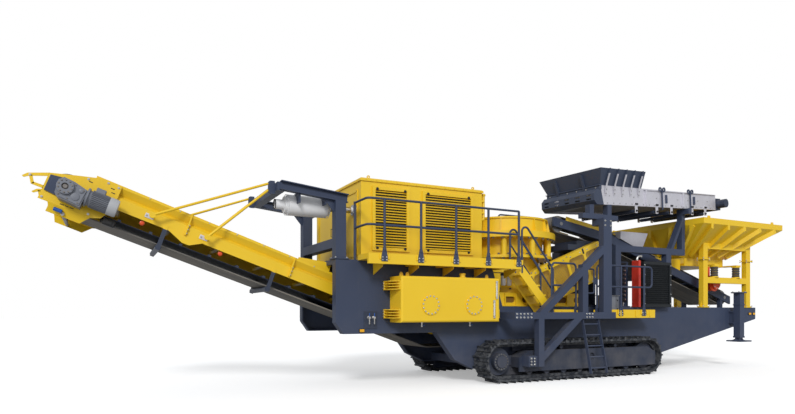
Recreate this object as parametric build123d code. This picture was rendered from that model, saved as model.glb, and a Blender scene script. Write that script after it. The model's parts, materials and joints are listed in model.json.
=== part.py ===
from build123d import *
import math
import os

# Shared sizes, in millimetres: X runs from the discharge end to the feed end, Y from near to far
overrun = 40
fit_gap = 0.3
walk_width = 500

# Chassis girders
chassis_half = 1100
web = 25
flange = 25
flange_width = 180
discharge_x = 3750
nose_run = 150
nose_rise = 210
tunnel_z = 1030
tunnel_end_x = 5850
knee_x = 6270
knee_z = 480
belly_start_x = 6690
belly_end_x = 11460
belly_z = 280
rear_x = 15890
rear_low_z = 1240
rear_top_z = 1550
power_top_z = 2310
power_end_x = 7200
step_run = 250

# Cross members between the girders
member_width = 160
belly_member_height = 170
rear_member_height = 200
belly_member_shares = (0.06, 0.35, 0.65, 0.94)
rear_member_shares = (0.25, 0.6, 0.95)

# Power deck
deck_height = 90
deck_plate = 12
joist_width = 60
joist_count = 5
deck_far_y = chassis_half + walk_width

# Crawler tracks
track_gap = 20
track_inner_y = chassis_half + track_gap
shoe_width = 480
sprocket_x = 7110
idler_x = 11230
shoe_plate = 28
grouser_height = 42
grouser_width = 22
link_height = 70
link_rail_width = 50
link_rail_gap = 110
link_room = 10
track_height = 870
shoe_pitch = 190
shoe_gap = 14
frame_inset = 80
frame_outer_y = track_inner_y + shoe_width - frame_inset
frame_inner_y = track_inner_y + frame_inset
frame_top_z = 640
frame_bottom_z = 300
guard_bottom_z = 215
guard_plate = 30
frame_start_x = 7560
frame_end_x = 11500
frame_slope_run = 260
frame_hole_radius = 75
frame_hole_share = 0.5
wheel_width = 100
wheel_rim = 60
sprocket_teeth = 15
tooth_height = 34
hub_radius = 175
hub_cap_radius = 120
axle_radius = 45
roller_radius = 78
roller_count = 7
roller_width = 190
carrier_radius = 40
carrier_width = 150
carrier_shares = (0.3, 0.7)
carrier_bracket = 40
drive_plate = 45
drive_plate_radius = 200
carrier_beam_width = 420
carrier_beam_height = 200
carrier_beam_shares = (0.18, 0.78)

# Engine housing and louvre panels
housing_inset = 550
housing_setback = 180
housing_x0 = discharge_x + housing_inset
housing_x1 = power_end_x - housing_setback
housing_edge = 130
housing_near_y = chassis_half - housing_edge
housing_top_z = 3900
housing_wall = 25
roof_height = 60
roof_lip = 25
panel_start_shares = (0.081, 0.478)
panel_width_shares = (0.29, 0.437)
panel_bottom_z = 2600
panel_height = 1215
panel_thickness = 40
panel_border = 62
blade_count = 21
blade_thickness = 5
blade_tilt = 35
blade_reach_share = 0.9
panel_lap = 25

# Upper walkway
walk_outer_y = chassis_half + walk_width
upper_walk_inset = 430
upper_walk_over = 350
upper_walk_x0 = discharge_x + upper_walk_inset
upper_walk_x1 = power_end_x + upper_walk_over
kick_height = 110
kick_sheet = 10
floor_plate = 12
walk_joist_height = 88
walk_joist_width = 60
walk_joist_count = 5

# Handrails
rail_radius = 21
post_radius = 24
rail_height = 1060
mid_rail_share = 0.56
rail_bend = 90
base_height = 250
base_width = 120
base_top_width = 56
base_plate = 12
upper_post_shares = (0.092, 0.313, 0.539, 0.759, 0.979)

# Service tank
tank_inset = 1090
tank_setback = 170
tank_x0 = discharge_x + tank_inset
tank_x1 = power_end_x - tank_setback
tank_depth = 480
tank_gap = 25
tank_front_y = chassis_half + tank_depth
tank_back_y = chassis_half + tank_gap
tank_bottom_z = 1240
tank_top_z = 2100
tank_wall = 12
tank_edge = 40
cover_radius = 190
cover_plate = 18
cover_shares = (0.28, 0.72)
cover_height_share = 0.38
tank_bracket_width = 110
tank_bracket_height = 90
tank_bracket_shares = (0.14, 0.8)

# Gantry at the discharge end
post_size = 200
post_inset = 10
post_x0 = discharge_x + post_inset
post_edge = 20
post_outer_y = chassis_half - post_edge
gantry_beam_width = 150
gantry_beam_height = 160
gantry_flange = 18
gantry_reach = 1000
gantry_lap = 260
gantry_tip_x = post_x0 - gantry_reach
gantry_end_x = post_x0 + gantry_lap
gantry_tip_z = 3665
gantry_fall = 140
gantry_end_z = gantry_tip_z - gantry_fall
tie_bottom_z = 2620
tie_height = 170
tip_beam = 150
gusset = 220
gusset_plate = 16
rod_bracket_reach = 240
rod_bracket_height = 230
rod_bracket_plate = 30

# Stay rods
rod_y = 800
rod_radius = 22
rod_long_foot_x = 660
rod_short_foot_x = 1520
rod_foot_lift = 110
rod_eye_radius = 50
rod_eye_width = 40

# Exhaust
silencer_y = 620
silencer_drop = 275
silencer_z = gantry_tip_z - silencer_drop
silencer_inset = 160
silencer_length = 860
silencer_x0 = gantry_tip_x + silencer_inset
silencer_x1 = silencer_x0 + silencer_length
silencer_radius = 190
silencer_step = 60
silencer_step_radius = 150
outlet_radius = 90
outlet_length = 170
outlet_wall = 6
pipe_radius = 52
pipe_flange_radius = 85
pipe_flange = 25
cradle_plate = 24
cradle_shares = (0.22, 0.78)

# Discharge conveyor
belt_half = 500
belt_thickness = 18
drum_radius = 262
head_x = -530
head_z = 3340
bend_x = 6000
bend_z = 980
tail_x = 9300
frame_half = 620
side_sheet = 10
side_web_height = 190
side_bevel_in = 62
side_bevel_height = 50
side_flare_out = 80
side_flare_height = 110
side_lip = 42
frame_start_share = 0.08
frame_end_share = 0.955
tail_frame_height = 260
tie_radius = 38
tie_count = 7
return_roller_radius = 48
return_roller_shares = (0.22, 0.5, 0.78)
hanger_width = 70
cheek_plate = 20
cheek_reach = 560
cheek_nose = 560
cheek_drop = 130
cheek_rise = 330
cheek_chin_share = 0.6
cheek_fork_share = 0.45
cheek_tine_share = 0.9
cheek_tine_rise_share = 0.4
cheek_brow_share = 0.8
drum_shaft_radius = 48
arm_size = 120
arm_inset = 300

# Gear motor of the discharge conveyor
gearbox_y0 = 668
gearbox_width = 312
gearbox_size = 340
gear_flange_radius = 170
gear_flange = 30
motor_radius = 135
motor_length = 470
motor_fin_count = 18
motor_fin_height = 16
motor_fin_width = 7
motor_cap_radius = 125
motor_cap = 80
terminal_box = 130

# Crusher
crusher_x = 8290
subframe_x0 = 7470
subframe_x1 = 9980
subframe_edge = 160
subframe_half = chassis_half - subframe_edge
subframe_height = 300
subframe_plate = 40
subframe_hole_count = 5
subframe_hole_width = 300
subframe_hole_height = 130
casing_radius = 800
casing_step = 80
casing_wall = 70
casing_top_radius = casing_radius + casing_step
casing_top_z = 3115
discharge_lip = 100
discharge_hole = casing_radius - discharge_lip
base_flange_reach = 130
base_flange = 70
main_flange_reach = 280
main_flange_radius = casing_top_radius + main_flange_reach
main_flange = 70
ring_flange_reach = 210
ring_flange = 60
ring_flange_share = 0.6
release_count = 10
release_radius = 62
release_reach = 150
release_orbit = casing_top_radius + release_reach
hub_outer_radius = 300
hub_height = 420
hub_arm_width = 130
hub_arm_height = 170
hub_arm_count = 3
bowl_flange = 65
bowl_reach = 90
bowl_radius = casing_top_radius + bowl_reach
bowl_height = 320
bowl_wall = 60
bowl_throat_inset = 160
bowl_throat_radius = casing_radius - bowl_throat_inset
bowl_mouth_drop = 90
mantle_inset = 200
mantle_radius = casing_radius - mantle_inset
mantle_foot_share = 0.9
mantle_height = 620
mantle_top_radius = 190
mantle_skirt = 90
mantle_cap_radius = 130
mantle_cap = 110

# Drive belt guard and drive motor
guard_depth = 140
guard_sheet = 10
guard_foot_x = 8550
guard_foot_z = 1990
guard_head_x = 10130
guard_head_z = 2610
guard_radius = 416
guard_head_sides = 8
window_count = 4
window_border = 120
window_bar = 70
drive_motor_radius = 300
drive_motor_length = 900
drive_shaft_radius = 60
motor_stand_half = 140
motor_foot = 50
hood_x0 = 9420
hood_x1 = 10500
hood_gap = 40
hood_near_y = subframe_half - hood_gap
hood_far_y = 160
hood_low_z = 2850
hood_step_z = 2980
hood_top_z = 3070
hood_step_share = 0.24

# Lower walkway
lower_walk_x0 = 8300
lower_walk_x1 = 11400
lower_floor_z = 1400
gate_opening_x0 = 8990
gate_opening_x1 = 9590
lower_joist_count = 6
rail_two_end_x = 11280
rail_two_post_x = 11030
rail_two_mid_post_x = 10310

# Ladder gate
gate_length = 410
gate_bottom_z = 1840
gate_height = 520
gate_tube = 17
gate_bend = 120
hinge_offset = 45
hinge_pin_radius = 9
hinge_barrel_radius = 20
hinge_z0 = 2030
hinge_height = 150
hinge_lug = 14
hinge_lug_width = 44
hinge_end_gap = 0.5

# Boarding ladder
ladder_x0 = 9050
ladder_width = 440
ladder_lean = 385
ladder_foot_y = walk_outer_y + ladder_lean
ladder_foot_z = 150
ladder_over_share = 1.1
stringer_width = 70
stringer_plate = 14
rung_radius = 17
rung_count = 5

# Access stair
stair_foot_x = 8460
tread_count = 4
tread_depth = 210
tread_plate = 30
stair_stringer = 14
stair_stringer_height = 170
stair_gap = 20
stair_width = 410
stair_inner_y = chassis_half + stair_gap
stair_outer_y = stair_inner_y + stair_width
stair_rail_height = 930
stair_mid_share = 0.8

# Support frame of the return conveyor
support_tube = 140
support_reach = 190
support_outer_y = walk_outer_y + support_reach
support_x0 = 7250
support_x1 = 9960
support_beam_z = 1290
support_post_x = 9600
support_post_width = 240
support_short_x = 9010
support_short_width = 150
support_short_top_z = 2440
support_leg_x = 7840
diagonal_foot_x = 7920
diagonal_top_z = 2810
low_diagonal_x = 8950
foot_x0 = 7620
foot_z0 = 330
foot_z1 = 620
anchor_width = 160
support_head_drop = 330
support_head_reach = 150
support_head_over = 400
support_head_tube = 110
support_hanger_width = 120
support_hanger_count = 2

# Portal frame over the feed conveyor
portal_inset = 80
portal_y = chassis_half - portal_inset
portal_tube = 150
portal_x0 = 10690
portal_post_width = 170
portal_x1 = 12570
portal_right_width = 170
portal_top_z = 3000
portal_arm_end_x = 13070
portal_arm_post_width = 110
arm_head_reach = 190
low_tie_z = 2250
seat_y = 560
seat_width = 100

# Return conveyor, laid out along its own slope
return_x = 9800
return_near_y = walk_outer_y
return_z = 3790
return_yaw = 7
return_pitch = 3.9
return_length = 4560
return_width = 1500
return_left_height = 420
return_right_height = 390
return_lean_share = 0.22
return_lean = return_left_height * return_lean_share
return_sheet = 12
return_lip = 45
return_drum_radius = 130
return_belt_half = 600
return_drum_lift = 190
return_tail_inset = 260
return_head_inset = 180
return_pin_radius = 40
return_tie_count = 5
return_tie_radius = 30
boot_length = 1380
boot_rise = 350
boot_flare = 130
boot_sheet = 12
boot_rib_count = 5
boot_rib = 14
boot_rib_reach = 90
tail_guard_length = 320
tail_guard_height = 330
tail_guard_cut_share = 0.28
tail_slot_count = 5
tail_slot_width = 130
tail_slot_height = 34
tail_slot_shares = (0.38, 0.62)
drive_cap_length = 240
drive_cap_height = 300
return_motor_radius = 110
return_motor_length = 220

# Feed conveyor
feed_half = 620
feed_belt_half = 500
feed_head_x = 9475
feed_head_z = 3480
feed_bend_x = 11000
feed_bend_z = 3220
feed_tail_x = 15300
feed_tail_z = 1830
feed_drum_radius = 180
feed_beam_height = 200
feed_beam_sheet = 60
feed_shaft_radius = 42
feed_beam_over = 230
skirt_height = 95
skirt_sheet = 14
skirt_x0 = 9620
skirt_x1 = 10800
boot_x0 = 12560
boot_x1 = 13500
boot_top_z = 2800
feed_tie_radius = 34
feed_tie_count = 7
feed_tie_shares = (0.08, 0.92)
feed_tail_seat_x = 15120
chute_x0 = 11380
chute_x1 = 12080
chute_low_z = 2900
chute_top_z = 3400
chute_half = 590
chute_flare = 120
chute_sheet = 12
chute_room = 30

# Oil cooler
cooler_x0 = 11400
cooler_x1 = 12350
cooler_offset = 180
cooler_near_y = chassis_half + cooler_offset
cooler_depth = 240
cooler_height = 1080
cooler_frame = 70
cooler_fan_radius = 300
cooler_fan_depth = 90
cooler_core_depth = 30
cowl_x0 = 11230
cowl_x1 = 11300
cowl_depth = 200
cowl_height = 1100
cowl_round = 24

# Feed hopper
rim_x0 = 13100
rim_x1 = 16260
rim_reach = 500
rim_half = chassis_half + rim_reach
rim_top_z = 3750
rim_height = 140
rim_width = 110
throat_x0 = 13500
throat_x1 = 15080
throat_inset = 400
throat_half = chassis_half - throat_inset
throat_z = 2840
hopper_wall = 20
hopper_rib_count = 5
hopper_rib = 80
hopper_rib_reach = 90
hopper_rib_foot_share = 0.12

# Hopper frame
leg_xs = (13720, 15450)
leg_width = 170
leg_inset = 100
leg_near_y = chassis_half - leg_inset
leg_depth = 130
leg_foot_plate = 30
leg_foot_lap = 60
low_beam_z = 2180
high_beam_z = 3060
frame_beam_height = 150
frame_beam_depth = 130
leg_flange_z = 2780
leg_flange = 30
leg_flange_lap = 40

# Vibrating feeder
pan_x0 = 13560
pan_x1 = 15100
pan_sheet = 20
pan_bottom_z = 2640
pan_ear_width = 200
pan_ear = 30
spring_radius = 75
spring_shares = (0.22, 0.78)
exciter_radius = 190
exciter_length = 330
exciter_share = 0.584
exciter_z = 2190
exciter_gap = 20
exciter_cap = 60
exciter_cap_radius = 150
exciter_plate = 50
exciter_plate_half = 110

# Jack legs
jack_x = 14855
jack_offset = 220
jack_y = chassis_half + jack_offset
jack_sleeve = 300
jack_wall = 24
jack_bottom_z = 960
jack_top_z = 1920
jack_cap = 30
jack_cap_lap = 60
jack_fit = 0.5
jack_leg_wall = 25
jack_top_room = 40
jack_foot_z = 660
jack_foot_plate = 35
jack_foot_width = 640
jack_foot_depth = 420
jack_bracket_width = 220

# Far platform
far_x0 = 9300
far_x1 = 10480
far_floor_z = 2950
far_gap = 30
far_inner_y = chassis_half + far_gap
far_post = 90
far_post_shares = (0.12, 0.88)

nodes = {}


def block(x0, x1, y0, y1, z0, z1):
    return Pos((x0 + x1) / 2, (y0 + y1) / 2, (z0 + z1) / 2) * Box(x1 - x0, y1 - y0, z1 - z0)


def far_side(shape):
    return mirror(shape, about=Plane.XZ)


def both_sides(shape):
    return list(shape.solids()) + list(far_side(shape).solids())


def panel(points, y0, y1):
    """A plate with an outline in X and Z, from y0 to y1."""
    face = make_face(Polyline(*[(x, z) for x, z in points], close=True))
    return Pos(0, y1, 0) * Rot(90, 0, 0) * extrude(face, amount=y1 - y0)


def bar(p, q, width, height):
    """A straight bar from p to q: width lies level across it, height stands on it."""
    run = Vector(*q) - Vector(*p)
    across = Vector(0, 0, 1).cross(run)
    side = Vector(0, 1, 0) if across.length == 0 else across
    plane = Plane(origin=Vector(*p), x_dir=side, z_dir=run)
    return extrude(plane * Rectangle(width, height), amount=run.length)


def rod(p, q, radius):
    run = Vector(*q) - Vector(*p)
    plane = Plane(origin=Vector(*p), z_dir=run)
    return extrude(plane * Circle(radius), amount=run.length)


def pipe(points, radius, bend):
    """A round tube along straight runs joined by tangent bends."""
    path = FilletPolyline(*points, radius=bend) if len(points) > 2 else Line(*points)
    start = Plane(origin=path @ 0, z_dir=path % 0)
    return sweep(start * Circle(radius), path=path)


def spread(count, first, last):
    return [first + (last - first) * (i + 0.5) / count for i in range(count)]


def between(first, last, share):
    return first + (last - first) * share


def keep(name, *shapes):
    solids = [s for shape in shapes for s in (shape if isinstance(shape, list) else shape.solids())]
    nodes[name] = solids


def slot_face(a, b, radius):
    """A slot with round ends about two points of X and Z, drawn flat."""
    run = math.dist(a, b)
    turn = math.degrees(math.atan2(b[1] - a[1], b[0] - a[0]))
    return Pos((a[0] + b[0]) / 2, (a[1] + b[1]) / 2) * Rot(0, 0, turn) * SlotCenterToCenter(run, radius * 2)


def upright(face, y0, y1):
    """Stands a flat face of X and Z up and gives it depth from y0 to y1."""
    return Pos(0, y1, 0) * Rot(90, 0, 0) * extrude(face, amount=y1 - y0)


def belt_loop(points, radius, thickness, half):
    """A belt round the drums at the ends of a run of straight stretches."""
    outer = [slot_face(a, b, radius + thickness) for a, b in zip(points, points[1:])]
    inner = [slot_face(a, b, radius) for a, b in zip(points, points[1:])]
    face = outer[0]
    hole = inner[0]
    for more in outer[1:]:
        face = face + more
    for more in inner[1:]:
        hole = hole + more
    return upright(face - hole, -half, half)


# Chassis
def girder_outline():
    return [
        (discharge_x, power_top_z),
        (discharge_x, tunnel_z + nose_rise),
        (discharge_x + nose_run, tunnel_z),
        (tunnel_end_x, tunnel_z),
        (knee_x, knee_z),
        (belly_start_x, belly_z),
        (belly_end_x, belly_z),
        (rear_x, rear_low_z),
        (rear_x, rear_top_z),
        (power_end_x + step_run, rear_top_z),
        (power_end_x, power_top_z),
    ]


def chassis_girder():
    face = make_face(Polyline(*girder_outline(), close=True))
    whole = upright(face, -chassis_half, -chassis_half + flange_width)
    pocket = offset(face, amount=-flange, kind=Kind.INTERSECTION)
    return whole - upright(pocket, -chassis_half + web, -chassis_half + flange_width + overrun)


def cross_members():
    half = chassis_half - web
    solids = []
    for share in belly_member_shares:
        x = between(belly_start_x, belly_end_x, share)
        z = belly_z + flange
        solids += block(x, x + member_width, -half, half, z, z + belly_member_height).solids()
    for share in rear_member_shares:
        x = between(belly_end_x, rear_x - flange - member_width, share)
        z = rear_top_z - flange
        solids += block(x, x + member_width, -half, half, z - rear_member_height, z).solids()
    return solids


def power_deck():
    top = power_top_z + deck_height
    plate = block(discharge_x, power_end_x, -chassis_half, deck_far_y, top - deck_plate, top)
    low = power_top_z
    for y in spread(joist_count, -chassis_half, deck_far_y):
        plate += block(discharge_x, power_end_x, y - joist_width / 2, y + joist_width / 2, low,
                       top - deck_plate)
    for y in (-chassis_half, deck_far_y - joist_width, chassis_half - joist_width):
        plate += block(discharge_x, power_end_x, y, y + joist_width, low, top - deck_plate)
    for x in (discharge_x, power_end_x - joist_width):
        plate += block(x, x + joist_width, -chassis_half, deck_far_y, low, top - deck_plate)
    return plate


# Crawler tracks
track_mid_y = track_inner_y + shoe_width / 2
wheel_z = track_height / 2
loop_radius = wheel_z - grouser_height - shoe_plate
rail_inner = loop_radius - link_height
loop_run = idler_x - sprocket_x
loop_length = 2 * loop_run + 2 * math.pi * loop_radius


def loop_point(along, out):
    """A place on the chain: its way round the loop and its height off the links."""
    s = along % loop_length
    arc = math.pi * loop_radius
    r = loop_radius + out
    if s < loop_run:
        return (sprocket_x + s, wheel_z + r)
    s -= loop_run
    if s < arc:
        turn = math.pi / 2 - s / loop_radius
        return (idler_x + r * math.cos(turn), wheel_z + r * math.sin(turn))
    s -= arc
    if s < loop_run:
        return (idler_x - s, wheel_z - r)
    turn = -math.pi / 2 - (s - loop_run) / loop_radius
    return (sprocket_x + r * math.cos(turn), wheel_z + r * math.sin(turn))


def track_chain():
    count = round(loop_length / shoe_pitch)
    pitch = loop_length / count
    high = shoe_plate + grouser_height
    points = []
    for i in range(count):
        s = pitch * i
        middle = s + pitch / 2
        points += [
            loop_point(s, 0),
            loop_point(s + shoe_gap, 0),
            loop_point(s + shoe_gap, shoe_plate),
            loop_point(middle - grouser_width, shoe_plate),
            loop_point(middle - grouser_width / 2, high),
            loop_point(middle + grouser_width / 2, high),
            loop_point(middle + grouser_width, shoe_plate),
            loop_point(s + pitch - fit_gap, shoe_plate),
        ]
    ends = ((sprocket_x, wheel_z), (idler_x, wheel_z))
    shoe_face = make_face(Polyline(*points, close=True)) - slot_face(*ends, loop_radius - shoe_plate / 2)
    shoes = upright(shoe_face, -track_inner_y - shoe_width, -track_inner_y)
    rail_face = slot_face(*ends, loop_radius - shoe_plate / 2) - slot_face(*ends, rail_inner)
    for side in (-1, 1):
        y = -track_mid_y + side * (link_rail_gap + link_rail_width) / 2
        shoes += upright(rail_face, y - link_rail_width / 2, y + link_rail_width / 2)
    return shoes


def track_frame():
    y0 = -frame_outer_y
    y1 = -frame_inner_y
    outline = [
        (frame_start_x, frame_bottom_z),
        (frame_end_x, frame_bottom_z),
        (frame_end_x, frame_top_z - frame_slope_run / 2),
        (frame_end_x - frame_slope_run, frame_top_z),
        (frame_start_x + frame_slope_run, frame_top_z),
        (frame_start_x, frame_top_z - frame_slope_run / 2),
    ]
    body = panel(outline, y0, y1)
    for y in (y0, y1 - guard_plate):
        body += block(frame_start_x, frame_end_x, y, y + guard_plate, guard_bottom_z, frame_bottom_z)
    idler_room = rail_inner + link_height / 2
    yoke = link_rail_gap / 2 + link_rail_width + link_room
    start = idler_x - idler_room
    body -= block(start, frame_end_x + overrun, -track_mid_y - yoke, -track_mid_y + yoke, guard_bottom_z,
                  track_height)
    eye = Pos(between(frame_start_x, frame_end_x, frame_hole_share), y0, (frame_top_z + frame_bottom_z) / 2)
    body -= eye * Rot(90, 0, 0) * Cylinder(frame_hole_radius, frame_hole_radius)
    plate_y = y1 - drive_plate
    body += block(sprocket_x, frame_start_x + drive_plate, plate_y, y1, wheel_z - drive_plate_radius / 2,
                  wheel_z + drive_plate_radius / 2)
    body += rod((sprocket_x, plate_y, wheel_z), (sprocket_x, y1, wheel_z), drive_plate_radius)
    for share in carrier_beam_shares:
        x = between(frame_start_x, frame_end_x, share)
        z = frame_top_z - carrier_beam_height
        body += block(x, x + carrier_beam_width, y1, -chassis_half, z - carrier_bracket,
                      frame_top_z - carrier_bracket)
    for share in carrier_shares:
        x = between(frame_start_x, frame_end_x, share)
        y = -track_mid_y + carrier_width / 2
        body += block(x - carrier_bracket, x + carrier_bracket, y, y + carrier_bracket, frame_top_z,
                      carrier_z() + carrier_bracket)
    return body


def carrier_z():
    return track_height - grouser_height - shoe_plate - link_height - carrier_radius - fit_gap


def track_wheels():
    solids = []
    y = -track_mid_y
    half = wheel_width / 2
    reach = rail_inner - fit_gap
    root = reach - tooth_height / 2
    wheel = rod((sprocket_x, y - half, wheel_z), (sprocket_x, y + half, wheel_z), root)
    step = 360 / sprocket_teeth
    for i in range(sprocket_teeth):
        tooth = panel(
            [(root - tooth_height / 2, -tooth_height), (root - tooth_height / 2, tooth_height),
             (reach, tooth_height / 3), (reach, -tooth_height / 3)], y - half / 2, y + half / 2)
        wheel += Pos(sprocket_x, 0, wheel_z) * Rot(0, step * i, 0) * tooth
    wheel += rod((sprocket_x, -frame_outer_y, wheel_z), (sprocket_x, y, wheel_z), hub_radius)
    cap_y = -frame_outer_y - wheel_rim / 2
    wheel += rod((sprocket_x, cap_y, wheel_z), (sprocket_x, -frame_outer_y, wheel_z), hub_cap_radius)
    wheel += rod((sprocket_x, y, wheel_z), (sprocket_x, -frame_inner_y - drive_plate, wheel_z),
                 hub_cap_radius)
    solids += wheel.solids()
    idler = rod((idler_x, y - half, wheel_z), (idler_x, y + half, wheel_z), reach)
    yoke = link_rail_gap / 2 + link_rail_width + link_room
    idler += rod((idler_x, y - yoke, wheel_z), (idler_x, y + yoke, wheel_z), axle_radius)
    solids += idler.solids()
    low = grouser_height + shoe_plate + link_height + roller_radius + fit_gap
    inner_half = (frame_outer_y - frame_inner_y) / 2 - guard_plate
    middle = -(frame_outer_y + frame_inner_y) / 2
    for x in spread(roller_count, frame_start_x + roller_radius, idler_x - rail_inner - roller_radius):
        roller = rod((x, y - roller_width / 2, low), (x, y + roller_width / 2, low), roller_radius)
        roller += rod((x, middle - inner_half, low), (x, middle + inner_half, low), axle_radius / 2)
        solids += roller.solids()
    for share in carrier_shares:
        x = between(frame_start_x, frame_end_x, share)
        w = carrier_width / 2
        solids += rod((x, y - w, carrier_z()), (x, y + w, carrier_z()), carrier_radius).solids()
    return solids


# Power pack
deck_z = power_top_z + deck_height
panel_starts = [between(housing_x0, housing_x1, share) for share in panel_start_shares]
panel_widths = [(housing_x1 - housing_x0) * share for share in panel_width_shares]
upper_post_x = [between(upper_walk_x0, upper_walk_x1, share) for share in upper_post_shares]


def engine_housing():
    y0 = -housing_near_y
    t = housing_wall
    shell = block(housing_x0, housing_x1, y0, deck_far_y, deck_z, housing_top_z)
    shell -= block(housing_x0 + t, housing_x1 - t, y0 + t, deck_far_y - t, deck_z - overrun,
                   housing_top_z - t)
    for x, width in zip(panel_starts, panel_widths):
        z0 = panel_bottom_z + panel_lap
        z1 = panel_bottom_z + panel_height - panel_lap
        shell -= block(x + panel_lap, x + width - panel_lap, y0 - overrun, y0 + t + overrun, z0, z1)
    return shell


def housing_roof():
    e = roof_lip
    top = housing_top_z + roof_height
    roof = block(housing_x0 - e, housing_x1 + e, -housing_near_y - e, deck_far_y, housing_top_z, top)
    return chamfer(roof.faces().sort_by(Axis.Z)[-1].edges(), roof_lip)


def louvre_panel(x, width):
    y1 = -housing_near_y
    y0 = y1 - panel_thickness
    z1 = panel_bottom_z + panel_height
    body = block(x, x + width, y0, y1, panel_bottom_z, z1)
    b = panel_border
    body -= block(x + b, x + width - b, y0 - overrun, y1 + overrun, panel_bottom_z + b, z1 - b)
    reach = panel_thickness / math.cos(math.radians(blade_tilt)) * blade_reach_share
    for z in spread(blade_count, panel_bottom_z + b, z1 - b):
        blade = Box(width - 2 * b, reach, blade_thickness)
        body += Pos(x + width / 2, (y0 + y1) / 2, z) * Rot(blade_tilt, 0, 0) * blade
    return body


def walk_floor(x0, x1, inner_y, floor_z, joists):
    """A walkway floor with its joists, from the chassis out to the kick plate."""
    y0 = -walk_outer_y
    body = block(x0, x1, y0, inner_y, floor_z - floor_plate, floor_z)
    low = floor_z - floor_plate - walk_joist_height
    for x in spread(joists, x0, x1):
        w = walk_joist_width / 2
        body += block(x - w, x + w, y0 + kick_sheet, inner_y, low, floor_z - floor_plate)
    body += block(x0, x1, y0, y0 + walk_joist_width, low, floor_z - floor_plate)
    return body


def kick(x0, x1, floor_z):
    return block(x0, x1, -walk_outer_y, -walk_outer_y + kick_sheet, floor_z - floor_plate,
                 floor_z + kick_height - 2 * floor_plate)


def upper_walkway():
    body = walk_floor(upper_walk_x0, upper_walk_x1, -chassis_half, deck_z, walk_joist_count)
    body += kick(upper_walk_x0, upper_walk_x1, deck_z)
    z1 = deck_z + kick_height - 2 * floor_plate
    body += block(upper_walk_x0, upper_walk_x0 + kick_sheet, -walk_outer_y, -chassis_half,
                  deck_z - floor_plate, z1)
    return body


def rail_post(x, floor_z, height, y):
    """A round post on a tapered flat base, bolted to the outside of the kick plate."""
    base_low = floor_z - floor_plate - walk_joist_height / 2
    base_high = base_low + base_height
    half = base_width / 2
    top = base_top_width / 2
    base = panel([(x - half, base_low), (x + half, base_low), (x + half, base_low + base_height / 3),
                  (x + top, base_high), (x - top, base_high), (x - half, base_low + base_height / 3)],
                  y - base_plate, y)
    middle = y - base_plate / 2
    return base + rod((x, middle, base_high - base_height / 4), (x, middle, floor_z + height), post_radius)


rail_line_y = -walk_outer_y - base_plate / 2


def upper_walkway_rail():
    top = deck_z + rail_height
    middle = deck_z + rail_height * mid_rail_share
    x_end = upper_walk_x0 - post_radius
    y_in = -housing_near_y - 2 * post_radius
    y = rail_line_y
    body = pipe([(upper_post_x[-1], y, top), (x_end, y, top), (x_end, y_in, top)], rail_radius, rail_bend)
    body += pipe([(upper_post_x[-1], y, middle), (x_end, y, middle), (x_end, y_in, middle)], rail_radius,
                 rail_bend)
    for x in upper_post_x:
        body += rail_post(x, deck_z, rail_height, -walk_outer_y)
    body += rod((x_end, y_in, deck_z), (x_end, y_in, top + rail_radius), post_radius)
    return body


def service_tank():
    y0 = -tank_front_y
    y1 = -tank_back_y
    t = tank_wall
    body = block(tank_x0, tank_x1, y0, y1, tank_bottom_z, tank_top_z)
    front = body.faces().sort_by(Axis.Y)[0].edges()
    body = fillet(front, tank_edge)
    body -= block(tank_x0 + t, tank_x1 - t, y0 + t, y1 + overrun, tank_bottom_z + t, tank_top_z - t)
    z = between(tank_bottom_z, tank_top_z, cover_height_share)
    for share in cover_shares:
        x = between(tank_x0, tank_x1, share)
        body += rod((x, y0 - cover_plate, z), (x, y0 + t / 2, z), cover_radius)
    return body


def tank_back():
    y1 = -chassis_half
    body = block(tank_x0, tank_x1, -tank_back_y, y1, tank_bottom_z, tank_top_z)
    for share in tank_bracket_shares:
        z = between(tank_bottom_z, tank_top_z, share)
        for x0, x1 in ((tank_x0 - tank_bracket_width, tank_x0), (tank_x1, tank_x1 + tank_bracket_width)):
            body += block(x0, x1, -tank_back_y - tank_bracket_height, y1, z, z + tank_bracket_height)
    return body


# Gantry, stays and exhaust
gantry_slope = math.atan2(gantry_tip_z - gantry_end_z, gantry_end_x - gantry_tip_x)
gantry_beam_y = post_outer_y - post_size / 2


def gantry_beam_z(x):
    return gantry_end_z + (gantry_end_x - x) * math.tan(gantry_slope)


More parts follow.
